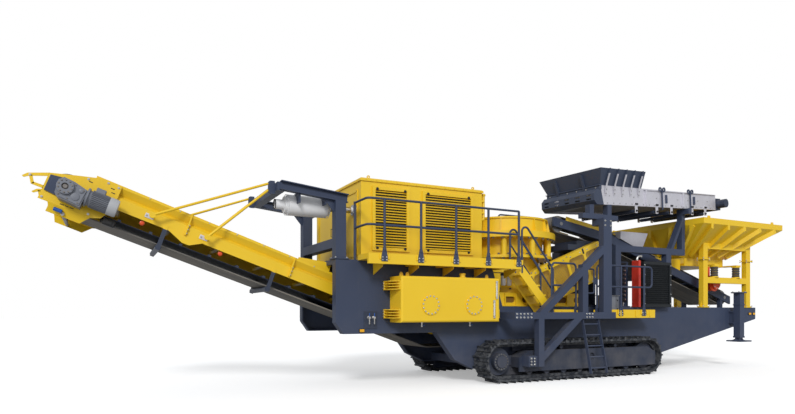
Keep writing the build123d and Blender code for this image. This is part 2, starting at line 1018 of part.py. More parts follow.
def gantry():
    y = -gantry_beam_y
    w = gantry_beam_width
    h = gantry_beam_height
    ends = ((gantry_end_x, y, gantry_end_z), (gantry_tip_x, y, gantry_tip_z))
    beam = bar(*ends, w, h)
    for side in (-1, 1):
        shift = Pos(0, side * (w + gantry_flange) / 2, 0)
        beam -= shift * bar(*ends, w, h - 2 * gantry_flange)
    post = block(post_x0, post_x0 + post_size, -post_outer_y, -post_outer_y + post_size, deck_z,
                 gantry_tip_z + h)
    above = Pos(0, -overrun, 0) * panel(
        [(gantry_tip_x, gantry_beam_z(gantry_tip_x) - h / 2),
         (gantry_end_x + overrun, gantry_beam_z(gantry_end_x + overrun) - h / 2),
         (gantry_end_x + overrun, gantry_tip_z + 2 * h), (gantry_tip_x, gantry_tip_z + 2 * h)],
         -post_outer_y - overrun, -post_outer_y + post_size + 3 * overrun)
    post -= above
    side_frame = beam + post
    z = gantry_beam_z(post_x0) - h / 2
    side_frame += panel([(post_x0, z - gusset), (post_x0, z + h / 3), (post_x0 - gusset, z + h / 3)],
                        y - gusset_plate / 2, y + gusset_plate / 2)
    body = side_frame + far_side(side_frame)
    tie_y = post_outer_y - post_size
    body += block(post_x0, post_x0 + post_size, -tie_y, tie_y, tie_bottom_z, tie_bottom_z + tie_height)
    tip_z = gantry_beam_z(gantry_tip_x + tip_beam) - tip_beam / 2
    x0 = gantry_tip_x - tip_beam / 3
    body += block(x0, x0 + tip_beam, -gantry_beam_y, gantry_beam_y, tip_z, tip_z + tip_beam)
    for side in (-1, 1):
        mid = side * rod_y
        z0 = tip_z + tip_beam / 2 - rod_bracket_height / 2
        ear = block(x0 - rod_bracket_reach / 2, x0, mid - rod_bracket_plate / 2,
                    mid + rod_bracket_plate / 2, z0, z0 + rod_bracket_height)
        body += fillet(ear.edges().filter_by(Axis.Y).sort_by(Axis.X)[:2], rod_bracket_reach / 5)
    for share in cradle_shares:
        x = between(silencer_x0, silencer_x1, share)
        arm = block(x, x + cradle_plate, -gantry_beam_y, -silencer_y, silencer_z, gantry_beam_z(x) - h / 4)
        body += arm - rod((x - overrun, -silencer_y, silencer_z), (x + overrun, -silencer_y, silencer_z),
                          silencer_radius + fit_gap)
    return body


def silencer():
    def turn(x0, x1, radius):
        return rod((x0, -silencer_y, silencer_z), (x1, -silencer_y, silencer_z), radius)

    body = turn(silencer_x0 + silencer_step, silencer_x1 - silencer_step, silencer_radius)
    body += turn(silencer_x0, silencer_x1, silencer_step_radius)
    outlet = turn(silencer_x0 - outlet_length, silencer_x0, outlet_radius)
    body += outlet - turn(silencer_x0 - outlet_length - overrun, silencer_x0 - overrun,
                          outlet_radius - outlet_wall)
    body += turn(silencer_x1, housing_x0, pipe_radius)
    body += turn(housing_x0 - pipe_flange, housing_x0, pipe_flange_radius)
    return body


# Discharge conveyor
incline = math.atan2(head_z - bend_z, bend_x - head_x)
incline_length = math.hypot(head_z - bend_z, bend_x - head_x)
discharge_path = [(tail_x, bend_z), (bend_x, bend_z), (head_x, head_z)]


def on_incline(along, up):
    """A place in X and Z: along the rising stretch from its foot, and square off its drum line."""
    x = bend_x - along * math.cos(incline) + up * math.sin(incline)
    return (x, bend_z + along * math.sin(incline) + up * math.cos(incline))


def rod_foot(x):
    along = (bend_x - x) / math.cos(incline)
    return on_incline(along, rod_foot_lift)


def side_section():
    """The folded side sheet: web, bevel turned in, wall flaring out and a lip, drawn outward and up."""
    t = side_sheet
    y0 = frame_half
    z1 = side_web_height
    z2 = z1 + side_bevel_height
    z3 = z2 + side_flare_height
    z4 = z3 + side_lip
    inner = y0 - side_bevel_in
    outer = inner + side_flare_out
    points = [(y0, 0), (y0 + t, 0), (y0 + t, z1), (inner + t, z2), (outer + t, z3), (outer + t, z4),
              (outer, z4), (outer, z3), (inner, z2), (y0, z1)]
    return make_face(Polyline(*points, close=True))


def discharge_side_frames():
    start = incline_length * frame_start_share
    length = incline_length * (frame_end_share - frame_start_share)
    x, z = on_incline(start, 0)
    run = Vector(-math.cos(incline), 0, math.sin(incline))
    up = Vector(math.sin(incline), 0, math.cos(incline))
    plane = Plane(origin=(x, 0, z), x_dir=up.cross(run), z_dir=run)
    near = extrude(plane * side_section(), amount=length)
    if near.bounding_box().max.Y > 0:
        near = far_side(near)
    tail = panel(
        [(tail_x + drum_radius / 2, bend_z), (tail_x + drum_radius / 2, bend_z + tail_frame_height),
         (bend_x, bend_z + tail_frame_height), on_incline(start, tail_frame_height), on_incline(start, 0),
         (bend_x, bend_z)],
        -frame_half - side_sheet, -frame_half)
    solids = both_sides(near) + both_sides(tail)
    h = frame_half
    outer = h + side_sheet
    for share in spread(tie_count, frame_start_share, frame_end_share):
        x, z = on_incline(incline_length * share, side_web_height / 2)
        solids += rod((x, -h, z), (x, h, z), tie_radius).solids()
    drop = drum_radius + belt_thickness + return_roller_radius + fit_gap
    y = -outer - side_sheet / 2
    for share in return_roller_shares:
        x, z = on_incline(incline_length * share, -drop)
        solids += rod((x, -outer, z), (x, outer, z), return_roller_radius).solids()
        x1, z1 = on_incline(incline_length * share, side_web_height / 3)
        x0, z0 = on_incline(incline_length * share, -drop - return_roller_radius)
        solids += both_sides(bar((x0, y, z0), (x1, y, z1), side_sheet, hanger_width))
    reach = chassis_half - web
    for x in (bend_x + arm_inset, tail_x - arm_inset):
        arm = block(x - arm_size, x, -reach, -outer, bend_z + arm_size / 2, bend_z + arm_size * 3 / 2)
        solids += both_sides(arm)
    for foot_x in (rod_long_foot_x, rod_short_foot_x):
        x, z = rod_foot(foot_x)
        solids += both_sides(rod((x, -rod_y - rod_eye_width / 2, z), (x, -outer, z), rod_radius))
    return solids


def stay_rods():
    h = gantry_beam_height
    tip_z = gantry_beam_z(gantry_tip_x + tip_beam)
    x0 = gantry_tip_x - tip_beam / 3 - rod_bracket_reach / 2
    solids = []
    lift = rod_bracket_height / 4
    for foot_x, z in ((rod_long_foot_x, tip_z + lift), (rod_short_foot_x, tip_z - lift)):
        x, foot_z = rod_foot(foot_x)
        y = -rod_y
        one = rod((x0, y, z), (x, y, foot_z), rod_radius)
        eye = rod((x, y - rod_eye_width / 2, foot_z), (x, y + rod_eye_width / 2, foot_z), rod_eye_radius)
        one += eye
        one -= rod((x, y - rod_eye_width, foot_z), (x, y + rod_eye_width, foot_z), rod_radius + fit_gap)
        one -= block(x0, x0 + rod_bracket_reach, y - rod_y, y + rod_y / 2, z - h, z + h)
        solids += both_sides(one)
    return solids


def discharge_head_cheeks():
    """Head plates outside the side frames, with a forked nose past the drum."""
    end = incline_length
    inner = frame_half + side_sheet + side_flare_out - side_bevel_in
    points = [
        on_incline(end - cheek_reach, -cheek_drop / 2),
        on_incline(end - cheek_reach / 3, -cheek_drop),
        on_incline(end + cheek_nose * cheek_chin_share, -cheek_drop),
        on_incline(end + cheek_nose, -cheek_drop / 3),
        on_incline(end + cheek_nose * cheek_fork_share, cheek_drop / 3),
        on_incline(end + cheek_nose * cheek_tine_share, cheek_rise * cheek_tine_rise_share),
        on_incline(end + cheek_nose * cheek_brow_share, cheek_rise),
        on_incline(end - cheek_reach, cheek_rise),
    ]
    plate = panel(points, -inner - cheek_plate, -inner)
    x, z = on_incline(end, 0)
    plate -= rod((x, -inner - overrun, z), (x, 0, z), drum_shaft_radius + fit_gap)
    return both_sides(plate)


def discharge_drums():
    inner = frame_half + side_sheet + side_flare_out - side_bevel_in
    head = rod((head_x, -belt_half, head_z), (head_x, belt_half, head_z), drum_radius - fit_gap)
    head += rod((head_x, -gearbox_y0, head_z), (head_x, inner + cheek_plate, head_z), drum_shaft_radius)
    tail = rod((tail_x, -belt_half, bend_z), (tail_x, belt_half, bend_z), drum_radius - fit_gap)
    tail += rod((tail_x, -frame_half, bend_z + fit_gap), (tail_x, frame_half, bend_z + fit_gap),
                drum_shaft_radius)
    return list(head.solids()) + list(tail.solids())


def discharge_gearmotor():
    y1 = -gearbox_y0
    y0 = y1 - gearbox_width
    half = gearbox_size / 2
    box_shape = block(-half, half, y0, y1, -half, half)
    body = chamfer(box_shape.edges().filter_by(Axis.Y), half / 3)
    body += rod((0, y0 - gear_flange, 0), (0, y0, 0), gear_flange_radius)
    middle = (y0 + y1) / 2
    start = half
    body += rod((start, middle, 0), (start + motor_length, middle, 0), motor_radius)
    end = start + motor_length
    body += rod((end, middle, 0), (end + motor_cap, middle, 0), motor_cap_radius)
    turn = 360 / motor_fin_count
    for i in range(motor_fin_count):
        fin = block(start + motor_cap / 2, end - motor_cap / 4, -motor_fin_width / 2, motor_fin_width / 2,
                    motor_radius - motor_fin_height, motor_radius + motor_fin_height)
        body += Pos(0, middle, 0) * Rot(turn * i, 0, 0) * fin
    t = terminal_box / 2
    body += block(start + motor_length / 3, start + motor_length / 3 + terminal_box, middle - t,
                  middle + t, motor_radius - motor_fin_height, motor_radius + t)
    tilt = math.degrees(incline)
    return Pos(head_x, 0, head_z) * Rot(0, tilt, 0) * body


# Crusher
subframe_top = rear_top_z + subframe_height


def revolve_profile(points, x):
    """A round body about an upright axis, from its outline in radius and height."""
    face = make_face(Polyline(*[(r, z) for r, z in points], close=True))
    return Pos(x, 0, 0) * revolve(Plane.XZ * face, axis=Axis.Z)


def crusher_subframe():
    """A frame of plates: slotted sides, two ends and a top with the discharge hole."""
    t = subframe_plate
    h = subframe_half
    low = rear_top_z
    under = subframe_top - t
    top = block(subframe_x0, subframe_x1, -h, h, under, subframe_top)
    top -= Pos(crusher_x, 0, subframe_top) * Cylinder(discharge_hole, subframe_height)
    side = block(subframe_x0, subframe_x1, -h, -h + t, low, under)
    for x in spread(subframe_hole_count, subframe_x0 + t, subframe_x1 - t):
        hole = Pos(x, low + subframe_height / 2) * SlotOverall(subframe_hole_width, subframe_hole_height)
        side -= upright(hole, -h - overrun, -h + t + overrun)
    solids = list(top.solids()) + both_sides(side)
    for x in (subframe_x0, subframe_x1 - t):
        solids += block(x, x + t, -h + t, h - t, low, under).solids()
    return solids


def crusher_main_frame():
    """Lower and upper frame castings with release posts between their flanges, and a hub on arms inside."""
    z0 = subframe_top
    ring_z = between(z0, casing_top_z, ring_flange_share)
    seat_z = ring_z + ring_flange
    flange_z = casing_top_z - main_flange
    foot = casing_radius + base_flange_reach
    ring = casing_top_radius + ring_flange_reach
    inner = casing_top_radius - casing_wall
    lower = revolve_profile([
        (discharge_hole, z0), (foot, z0), (foot, z0 + base_flange), (casing_radius, z0 + base_flange),
        (casing_radius, ring_z), (ring, ring_z), (ring, seat_z), (discharge_hole, seat_z)], crusher_x)
    upper = revolve_profile([
        (inner, seat_z), (casing_top_radius, seat_z), (casing_top_radius, flange_z),
        (main_flange_radius, flange_z), (main_flange_radius, casing_top_z), (inner, casing_top_z)], crusher_x)
    solids = list(lower.solids()) + list(upper.solids())
    for i in range(release_count):
        post = Pos(release_orbit, 0, (seat_z + flange_z) / 2) * Cylinder(release_radius, flange_z - seat_z)
        solids += (Pos(crusher_x, 0, 0) * Rot(0, 0, 360 / release_count * (i + 0.5)) * post).solids()
    middle = Pos(crusher_x, 0, z0 + hub_height / 2)
    hub = middle * Cylinder(hub_outer_radius, hub_height)
    solids += hub.solids()
    low = z0 + base_flange
    for i in range(hub_arm_count):
        arm = block(0, casing_radius, -hub_arm_width / 2, hub_arm_width / 2, low, low + hub_arm_height)
        arm = Pos(crusher_x, 0, 0) * Rot(0, 0, 360 / hub_arm_count * i) * arm
        solids += ((arm & middle * Cylinder(discharge_hole, hub_height)) - hub).solids()
    return solids


def crusher_bowl():
    """The bowl with its flange and cone, and the feed ring that stands on it."""
    z0 = casing_top_z
    z1 = z0 + bowl_flange
    z2 = z1 + bowl_height
    low = z0 - bowl_mouth_drop
    inner = bowl_radius - bowl_wall
    seat = casing_top_radius - casing_wall - fit_gap
    bowl = revolve_profile([
        (seat, low), (seat, z0), (main_flange_radius, z0), (main_flange_radius, z1), (inner, z1),
        (bowl_throat_radius, z0), (bowl_throat_radius, low)], crusher_x)
    ring = revolve_profile([(inner, z1), (bowl_radius, z1), (bowl_radius, z2), (inner, z2)], crusher_x)
    return list(bowl.solids()) + list(ring.solids())


def crusher_mantle():
    z0 = subframe_top + hub_height
    z1 = z0 + mantle_skirt
    z2 = z0 + mantle_height
    points = [
        (0, z0), (mantle_radius * mantle_foot_share, z0), (mantle_radius, z1), (mantle_top_radius, z2),
        (mantle_cap_radius, z2), (mantle_cap_radius, z2 + mantle_cap), (0, z2 + mantle_cap),
    ]
    return revolve_profile(points, crusher_x)


def guard_along(along, up):
    turn = math.atan2(guard_head_z - guard_foot_z, guard_head_x - guard_foot_x)
    x = guard_foot_x + along * math.cos(turn) - up * math.sin(turn)
    return (x, guard_foot_z + along * math.sin(turn) + up * math.cos(turn))


guard_run = math.dist((guard_foot_x, guard_foot_z), (guard_head_x, guard_head_z))


def guard_face(radius):
    c = radius * math.tan(math.pi / guard_head_sides)
    head = [guard_along(guard_run + c, radius), guard_along(guard_run + radius, c),
            guard_along(guard_run + radius, -c),
            guard_along(guard_run + c, -radius)]
    points = [guard_along(0, radius)] + head + [guard_along(0, -radius)]
    body = make_face(Polyline(*points, close=True))
    return body + Pos(guard_foot_x, guard_foot_z) * Circle(radius)


def drive_belt_guard():
    y1 = -subframe_half
    y0 = y1 - guard_depth
    body = upright(guard_face(guard_radius), y0, y1)
    body -= upright(guard_face(guard_radius - guard_sheet), y0 + guard_sheet, y1 - guard_sheet)
    run = (guard_run + guard_radius) / window_count
    turn = math.degrees(math.atan2(guard_head_z - guard_foot_z, guard_head_x - guard_foot_x))
    tall = 2 * (guard_radius - window_border)
    for along in spread(window_count, -guard_radius / 2, guard_run + guard_radius / 2):
        x, z = guard_along(along, 0)
        window = RectangleRounded(run - window_bar, tall, window_bar)
        body -= upright(Pos(x, z) * Rot(0, 0, turn) * window, y0 - overrun, y0 + guard_sheet + fit_gap)
    return body


def drive_motor():
    y0 = -subframe_half
    x = guard_head_x
    z = guard_head_z
    body = rod((x, y0 + drive_shaft_radius, z), (x, y0 + drive_motor_length, z), drive_motor_radius)
    body += rod((x, y0, z), (x, y0 + drive_shaft_radius, z), drive_motor_radius / 2)
    stand = block(x - motor_stand_half, x + motor_stand_half, y0 + drive_shaft_radius,
                  y0 + drive_motor_length, rear_top_z, z)
    foot_half = chassis_half - flange_width / 2
    stand += block(x - motor_stand_half, x + motor_stand_half, -foot_half, foot_half, rear_top_z,
                   rear_top_z + motor_foot)
    stand -= block(x - motor_stand_half + web, x + motor_stand_half - web, y0,
                   y0 + drive_motor_length + overrun, rear_top_z + motor_foot, z - drive_motor_radius)
    step = (hood_x1 - hood_x0) * hood_step_share
    hood = block(hood_x0, hood_x1, -hood_near_y, -hood_far_y, hood_low_z, hood_step_z)
    hood += block(hood_x0 + step, hood_x1 - step / 4, -hood_near_y, -hood_far_y, hood_step_z, hood_top_z)
    return body + stand + hood


# Lower walkway, gate, ladder and stair
def lower_walkway():
    body = walk_floor(lower_walk_x0, lower_walk_x1, -chassis_half, lower_floor_z, lower_joist_count)
    body += kick(lower_walk_x0, gate_opening_x0, lower_floor_z)
    body += kick(gate_opening_x1, lower_walk_x1, lower_floor_z)
    return body


def lower_rails():
    top = lower_floor_z + rail_height
    middle = lower_floor_z + rail_height * mid_rail_share
    y = rail_line_y
    foot = lower_floor_z + kick_height
    first = pipe([(lower_walk_x0 + post_radius, y, foot), (lower_walk_x0 + post_radius, y, top),
                  (gate_opening_x0, y, top), (gate_opening_x0, y, foot)], rail_radius, rail_bend)
    first += rod((lower_walk_x0 + post_radius, y, middle), (gate_opening_x0, y, middle), rail_radius)
    for x in (lower_walk_x0 + post_radius, gate_opening_x0):
        first += rail_base(x)
    second = pipe([(gate_opening_x1, y, foot), (gate_opening_x1, y, top), (rail_two_end_x, y, top),
                   (rail_two_end_x, y, middle), (gate_opening_x1, y, middle)], rail_radius, rail_bend)
    second += rail_base(gate_opening_x1)
    for x in (rail_two_mid_post_x, rail_two_post_x):
        second += rail_post(x, lower_floor_z, rail_height, -walk_outer_y)
    for z in (hinge_z0, hinge_z0 + hinge_height - hinge_lug):
        w = hinge_lug_width / 2
        second += block(hinge_x, gate_opening_x1, y - w, y + w, z, z + hinge_lug)
        second += rod((hinge_x, y, z), (hinge_x, y, z + hinge_lug), w)
    second += rod((hinge_x, y, hinge_z0), (hinge_x, y, hinge_z0 + hinge_height), hinge_pin_radius)
    return list(first.solids()) + list(second.solids())


hinge_x = gate_opening_x1 - hinge_offset


def rail_base(x):
    half = base_width / 2
    top = base_top_width / 2
    y = -walk_outer_y
    low = lower_floor_z - floor_plate - walk_joist_height / 2
    return panel([(x - half, low), (x + half, low), (x + half, low + base_height / 3),
                  (x + top, low + base_height),
                  (x - top, low + base_height), (x - half, low + base_height / 3)], y - base_plate, y)


def ladder_gate():
    y = rail_line_y
    z0 = hinge_z0 + hinge_lug + hinge_end_gap
    z1 = hinge_z0 + hinge_height - hinge_lug - hinge_end_gap
    barrel = rod((hinge_x, y, z0), (hinge_x, y, z1), hinge_barrel_radius)
    x0 = hinge_x - hinge_lug_width
    x1 = hinge_x - gate_length
    top = gate_bottom_z + gate_height
    loop = pipe([(x0, y, z1), (x0, y, top), (x1, y, top), (x1, y, gate_bottom_z), (x0, y, gate_bottom_z),
                 (x0, y, z0)], gate_tube, gate_bend / 3)
    loop += rod((x0, y, z0), (x0, y, z1), gate_tube)
    z = (z0 + z1) / 2
    reach = (z1 - z0) / 3
    loop += block(x0, hinge_x, y - gate_tube / 2, y + gate_tube / 2, z - reach, z + reach)
    gate = barrel + loop
    return gate - rod((hinge_x, y, hinge_z0), (hinge_x, y, hinge_z0 + hinge_height),
                      hinge_pin_radius + fit_gap)


def boarding_ladder():
    top = (-support_outer_y + support_tube / 2, support_beam_z)
    foot = (-ladder_foot_y, ladder_foot_z)
    body = None
    for x in (ladder_x0, ladder_x0 + ladder_width):
        end = (between(foot[0], top[0], ladder_over_share), between(foot[1], top[1], ladder_over_share))
        stringer = bar((x, *foot), (x, *end), stringer_plate, stringer_width)
        body = stringer if body is None else body + stringer
    body -= block(ladder_x0 - overrun, ladder_x0 + ladder_width + overrun, -ladder_foot_y,
                  -walk_outer_y + overrun, support_beam_z, support_beam_z + rail_height)
    for share in spread(rung_count, 0, 1):
        y = between(foot[0], top[0], share)
        z = between(foot[1], top[1], share)
        body += rod((ladder_x0, y, z), (ladder_x0 + ladder_width, y, z), rung_radius)
    return body


stair_foot = (stair_foot_x, lower_floor_z)


def access_stair():
    h = stair_stringer_height
    body = None
    for y in (-stair_outer_y, -stair_inner_y - stair_stringer):
        outline = [(upper_walk_x1, deck_z - floor_plate), (upper_walk_x1, deck_z - floor_plate - h),
                   (stair_foot[0] - h, stair_foot[1]),
                   (stair_foot[0], stair_foot[1]), (stair_foot[0], stair_foot[1] + h / 2),
                   (upper_walk_x1 + h / 2, deck_z - floor_plate)]
        stringer = panel(outline, y, y + stair_stringer)
        body = stringer if body is None else body + stringer
    for i in range(tread_count):
        share = (i + 1) / (tread_count + 1)
        x = between(upper_walk_x1, stair_foot[0] - tread_depth / 2, share)
        z = between(deck_z, stair_foot[1], share)
        body += block(x, x + tread_depth, -stair_outer_y, -stair_inner_y, z - tread_plate, z)
    return body


def stair_rails():
    solids = []
    rise = stair_rail_height
    stair = access_stair()
    for y in (-stair_outer_y + stair_stringer / 2, -stair_inner_y - stair_stringer / 2):
        hx, hz = upper_walk_x1 + post_radius * 3, deck_z - stair_stringer_height
        fx, fz = stair_foot[0] - post_radius, stair_foot[1]
        one = pipe([(hx, y, hz), (hx, y, deck_z + rise), (fx, y, fz + rise), (fx, y, fz)], rail_radius,
                   rail_bend)
        one += rod((hx, y, deck_z + rise / 2), (fx, y, fz + rise / 2), rail_radius * stair_mid_share)
        solids += (one - stair).solids()
    return solids


# Frames that carry the overhead conveyor
return_place = Pos(return_x, -return_near_y, return_z) * Rot(0, 0, return_yaw) * Rot(0, -return_pitch, 0)


def above_return():
    """Everything over the underside of the return conveyor, to trim its posts against."""
    return return_place * block(-return_width, return_length + return_width, -return_width,
                                2 * return_width, 0, 2 * return_width)


def return_support_frame():
    y0 = -support_outer_y
    y1 = y0 + support_tube
    mid = (y0 + y1) / 2
    t = support_tube
    z1 = support_beam_z + t
    body = block(support_x0, support_x1, y0, y1, support_beam_z, z1)
    head_z = return_z - support_head_drop
    body += block(support_post_x, support_post_x + support_post_width, y0, y1, z1, head_z)
    inner = -return_near_y + support_head_reach
    body += block(support_post_x, support_post_x + support_post_width, y1, inner, head_z - t, head_z)
    x0 = support_post_x - support_head_over
    x1 = support_post_x + support_post_width + support_head_over
    tube_z = head_z + support_head_tube
    body += block(x0, x1, inner - t, inner, head_z, tube_z)
    for x in spread(support_hanger_count, x0, x1):
        w = support_hanger_width / 2
        hanger = block(x - w, x + w, inner - t, inner, tube_z, return_z + return_left_height)
        body += hanger - above_return()
    body += block(support_short_x, support_short_x + support_short_width, y0, y1, z1, support_short_top_z)
    body += bar((diagonal_foot_x, mid, z1 - t / 3), (support_post_x + t / 3, mid, diagonal_top_z), t, t)
    body += block(support_leg_x, support_leg_x + t, y0, y1, foot_z0, support_beam_z)
    body += bar((low_diagonal_x, mid, support_beam_z + t / 3), (support_leg_x + t / 2, mid, foot_z1 - t),
                t, t)
    body += block(foot_x0, support_leg_x + t, y0 + t / 3, -frame_outer_y, foot_z0, foot_z1 - t / 2)
    body += block(support_x0, support_x0 + anchor_width, y1, -chassis_half, support_beam_z, z1)
    return body


def feed_low(x):
    """Height of the underside of the feed conveyor's side beams."""
    outline = feed_beam_face(feed_beam_height / 2, feed_beam_over)
    tail, bend, head = outline[0], outline[5], outline[4]
    a, b = (tail, bend) if x > bend[0] else (bend, head)
    return a[1] + (b[1] - a[1]) * (a[0] - x) / (a[0] - b[0])


def under_feed(x0, x1, y0, y1, z0):
    """A seat under the sloping side beam, from z0 up to its underside."""
    return panel([(x0, z0), (x1, z0), (x1, feed_low(x1)), (x0, feed_low(x0))], y0, y1)


def portal_side():
    """Two posts and the beam over them, as separate tubes."""
    t = portal_tube
    y0 = -portal_y - t / 2
    y1 = y0 + t
    top = portal_top_z
    x1 = portal_x1 - portal_right_width
    beam = block(portal_x0, portal_arm_end_x, y0, y1, top - t, top)
    solids = list(beam.solids())
    for a, b in ((portal_x0, portal_x0 + portal_post_width), (x1, portal_x1)):
        solids += block(a, b, y0, y1, rear_top_z, top - t).solids()
    return solids


def portal_frame():
    t = portal_tube
    y0 = -portal_y - t / 2
    y1 = y0 + t
    top = portal_top_z
    solids = portal_side() + [far_side(s) for s in portal_side()]
    post_x = portal_arm_end_x - portal_arm_post_width
    post = block(post_x, portal_arm_end_x, y0, y1, top, return_z + 2 * return_left_height) - above_return()
    head = post.bounding_box().max.Z
    brace = bar((portal_x1, -portal_y, top - t / 2), (portal_arm_end_x, -portal_y, head - t), t, t / 2)
    below = block(portal_x0, portal_arm_end_x, y0 - overrun, y1 + overrun, rear_top_z, top)
    solids += post.solids() + (brace - below - post).solids().sort_by(Axis.X)[:1]
    rest = block(post_x, portal_arm_end_x, y0 - arm_head_reach, y0, head - t,
                 return_z + 2 * return_left_height)
    solids += (rest - above_return()).solids()
    x1 = portal_x1 - portal_right_width
    for a, b, z in ((portal_x0, portal_x0 + portal_post_width, top), (x1, portal_x1, low_tie_z + t)):
        solids += block(a, b, y1, -y1, z - t, z).solids()
        for side_y in (-1, 1):
            low = side_y * seat_y - seat_width / 2
            solids += under_feed(a, b, low, low + seat_width, z).solids()
    return solids


# Return conveyor, in its own sloping frame
def return_panel_outline():
    return [(0, 0), (return_length, 0), (return_length, return_right_height),
            (-return_lean, return_left_height)]


def return_side_panels():
    t = return_sheet
    face = make_face(Polyline(*return_panel_outline(), close=True))
    near = upright(face, 0, t)
    near += block(0, return_length, 0, return_lip, 0, t)
    far = mirror(near, about=Plane.XZ.offset(-return_width / 2))
    body = near + far
    for u in spread(return_tie_count, 0, return_length):
        w = return_drum_lift - return_drum_radius + return_tie_radius * 3
        body += rod((u, t / 2, w), (u, return_width - t / 2, w), return_tie_radius)
    return return_place * body


def return_belt():
    w = return_drum_lift
    path = [(return_tail_inset, w), (return_length - return_head_inset, w)]
    middle = return_width / 2
    outer = slot_face(*path, return_drum_radius + belt_thickness)
    inner = slot_face(*path, return_drum_radius)
    loop = upright(outer - inner, middle - return_belt_half, middle + return_belt_half)
    return return_place * loop


def return_drums():
    w = return_drum_lift
    middle = return_width / 2
    t = return_sheet
    solids = []
    for u in (return_tail_inset, return_length - return_head_inset):
        one = rod((u, middle - return_belt_half, w), (u, middle + return_belt_half, w),
                  return_drum_radius - fit_gap)
        one += rod((u, t, w), (u, return_width - t, w), return_pin_radius)
        solids += (return_place * one).solids()
    return solids


def return_boot():
    """A flared feed boot: two side wings and an end wing, each leaning out, with straps up their outsides."""
    t = boot_sheet
    f = boot_flare
    w0 = return_left_height
    w1 = w0 + boot_rise
    u0 = -return_lean
    u1 = boot_length
    slope = (return_right_height - return_left_height) / (return_length + return_lean)

    def plan(left, right, low, high, w):
        corners = [(left, low), (right, low), (right, high), (left, high)]
        return Pos(0, 0, w) * make_face(Polyline(*corners, close=True))

    shell = loft([plan(u0, u1, 0, return_width, w0), plan(u0 - f, u1, -f, return_width + f, w1)])
    shell -= loft([plan(u0 + t, u1 + overrun, t, return_width - t, w0),
                   plan(u0 - f + t, u1 + overrun, -f + t, return_width + f - t, w1)])
    skirt = panel([(u0, w0), (u1, w0), (u1, w0 + slope * (u1 - u0))], 0, t)
    shell += skirt + Pos(0, return_width - t, 0) * skirt
    strap = boot_rib_reach / 2
    outline = [(-f, w1), (0, w0), (-strap, w0), (-f - strap, w1)]
    rib = extrude(Plane.YZ * make_face(Polyline(*outline, close=True)), amount=boot_rib)
    for u in spread(boot_rib_count, u0, u1):
        one = Pos(u, 0, 0) * rib
        shell += one + mirror(one, about=Plane.XZ.offset(-return_width / 2))
    return return_place * shell


def return_tail_guard():
    h = tail_guard_height
    c = h * tail_guard_cut_share
    length = tail_guard_length
    outline = [(0, 0), (-length + c, 0), (-length, c), (-length, h - c), (-length + c, h),
               (-return_lean_share * h, h)]
    t = return_sheet
    body = upright(make_face(Polyline(*outline, close=True)), 0, return_width)
    inner = [(overrun, t), (-length + c, t), (-length + t, c), (-length + t, h - c), (-length + c, h - t),
             (overrun, h - t)]
    body -= upright(make_face(Polyline(*inner, close=True)), t, return_width - t)
    w = tail_slot_width / 2
    for y in spread(tail_slot_count, 0, return_width):
        for share in tail_slot_shares:
            z0 = h * share - tail_slot_height / 2
            body -= block(-length - overrun, -length + t + overrun, y - w, y + w, z0, z0 + tail_slot_height)
    return return_place * body


def return_drive():
    u = return_length
    body = block(u, u + drive_cap_length, 0, return_width, 0, drive_cap_height)
    t = return_sheet
    body -= block(u - overrun, u + drive_cap_length - t, t, return_width - t, -overrun, drive_cap_height - t)
    m = return_motor_radius
    body += rod((u + drive_cap_length / 2, -return_motor_length, drive_cap_height / 2),
                (u + drive_cap_length / 2, 0, drive_cap_height / 2), m)
    return return_place * body


# Feed conveyor
feed_path = [(feed_tail_x, feed_tail_z), (feed_bend_x, feed_bend_z), (feed_head_x, feed_head_z)]
feed_slope = math.atan2(feed_bend_z - feed_tail_z, feed_tail_x - feed_bend_x)


def feed_beam_face(half_height, over):
    """The outline of a side beam that follows the belt's two stretches."""
    (tx, tz), (bx, bz), (hx, hz) = feed_path
    h = half_height
    slope_a = math.atan2(bz - tz, tx - bx)
    slope_b = math.atan2(hz - bz, bx - hx)
    a = h / math.cos(slope_a)
    b = h / math.cos(slope_b)
    low_z = tz - over * math.tan(slope_a)
    high_z = hz + over * math.tan(slope_b)
    return [(tx + over, low_z - a), (tx + over, low_z + a), (bx, bz + a), (hx - over, high_z + b),
            (hx - over, high_z - b), (bx, bz - a)]


def feed_side_frames():
    points = feed_beam_face(feed_beam_height / 2, feed_beam_over)
    near = panel(points, -feed_half, -feed_half + feed_beam_sheet)
    for x, z in (feed_path[0], feed_path[-1]):
        near -= rod((x, -feed_half - overrun, z), (x, 0, z), feed_shaft_radius + fit_gap)
    body = near + far_side(near)
    for share in spread(feed_tie_count, *feed_tie_shares):
        x = between(feed_tail_x, feed_bend_x, share)
        z = between(feed_tail_z, feed_bend_z, share)
        body += rod((x, -feed_half + feed_beam_sheet / 2, z), (x, feed_half - feed_beam_sheet / 2, z),
                    feed_tie_radius)
    return body


def feed_tail_seats():
    x = feed_tail_seat_x
    seat = under_feed(x, x + seat_width, -seat_y - seat_width / 2, -seat_y + seat_width / 2, rear_top_z)
    return seat


def feed_drums():
    solids = []
    for x, z in (feed_path[0], feed_path[-1]):
        one = rod((x, -feed_belt_half, z), (x, feed_belt_half, z), feed_drum_radius - fit_gap)
        one += rod((x, -feed_half, z), (x, feed_half, z), feed_shaft_radius)
        solids += one.solids()
    return solids


def feed_top(x):
    """Height of the top edge of the feed conveyor's side beams."""
    outline = feed_beam_face(feed_beam_height / 2, feed_beam_over)
    tail, bend, head = outline[1], outline[2], outline[3]
    a, b = (tail, bend) if x > bend[0] else (bend, head)
    return a[1] + (b[1] - a[1]) * (a[0] - x) / (a[0] - b[0])


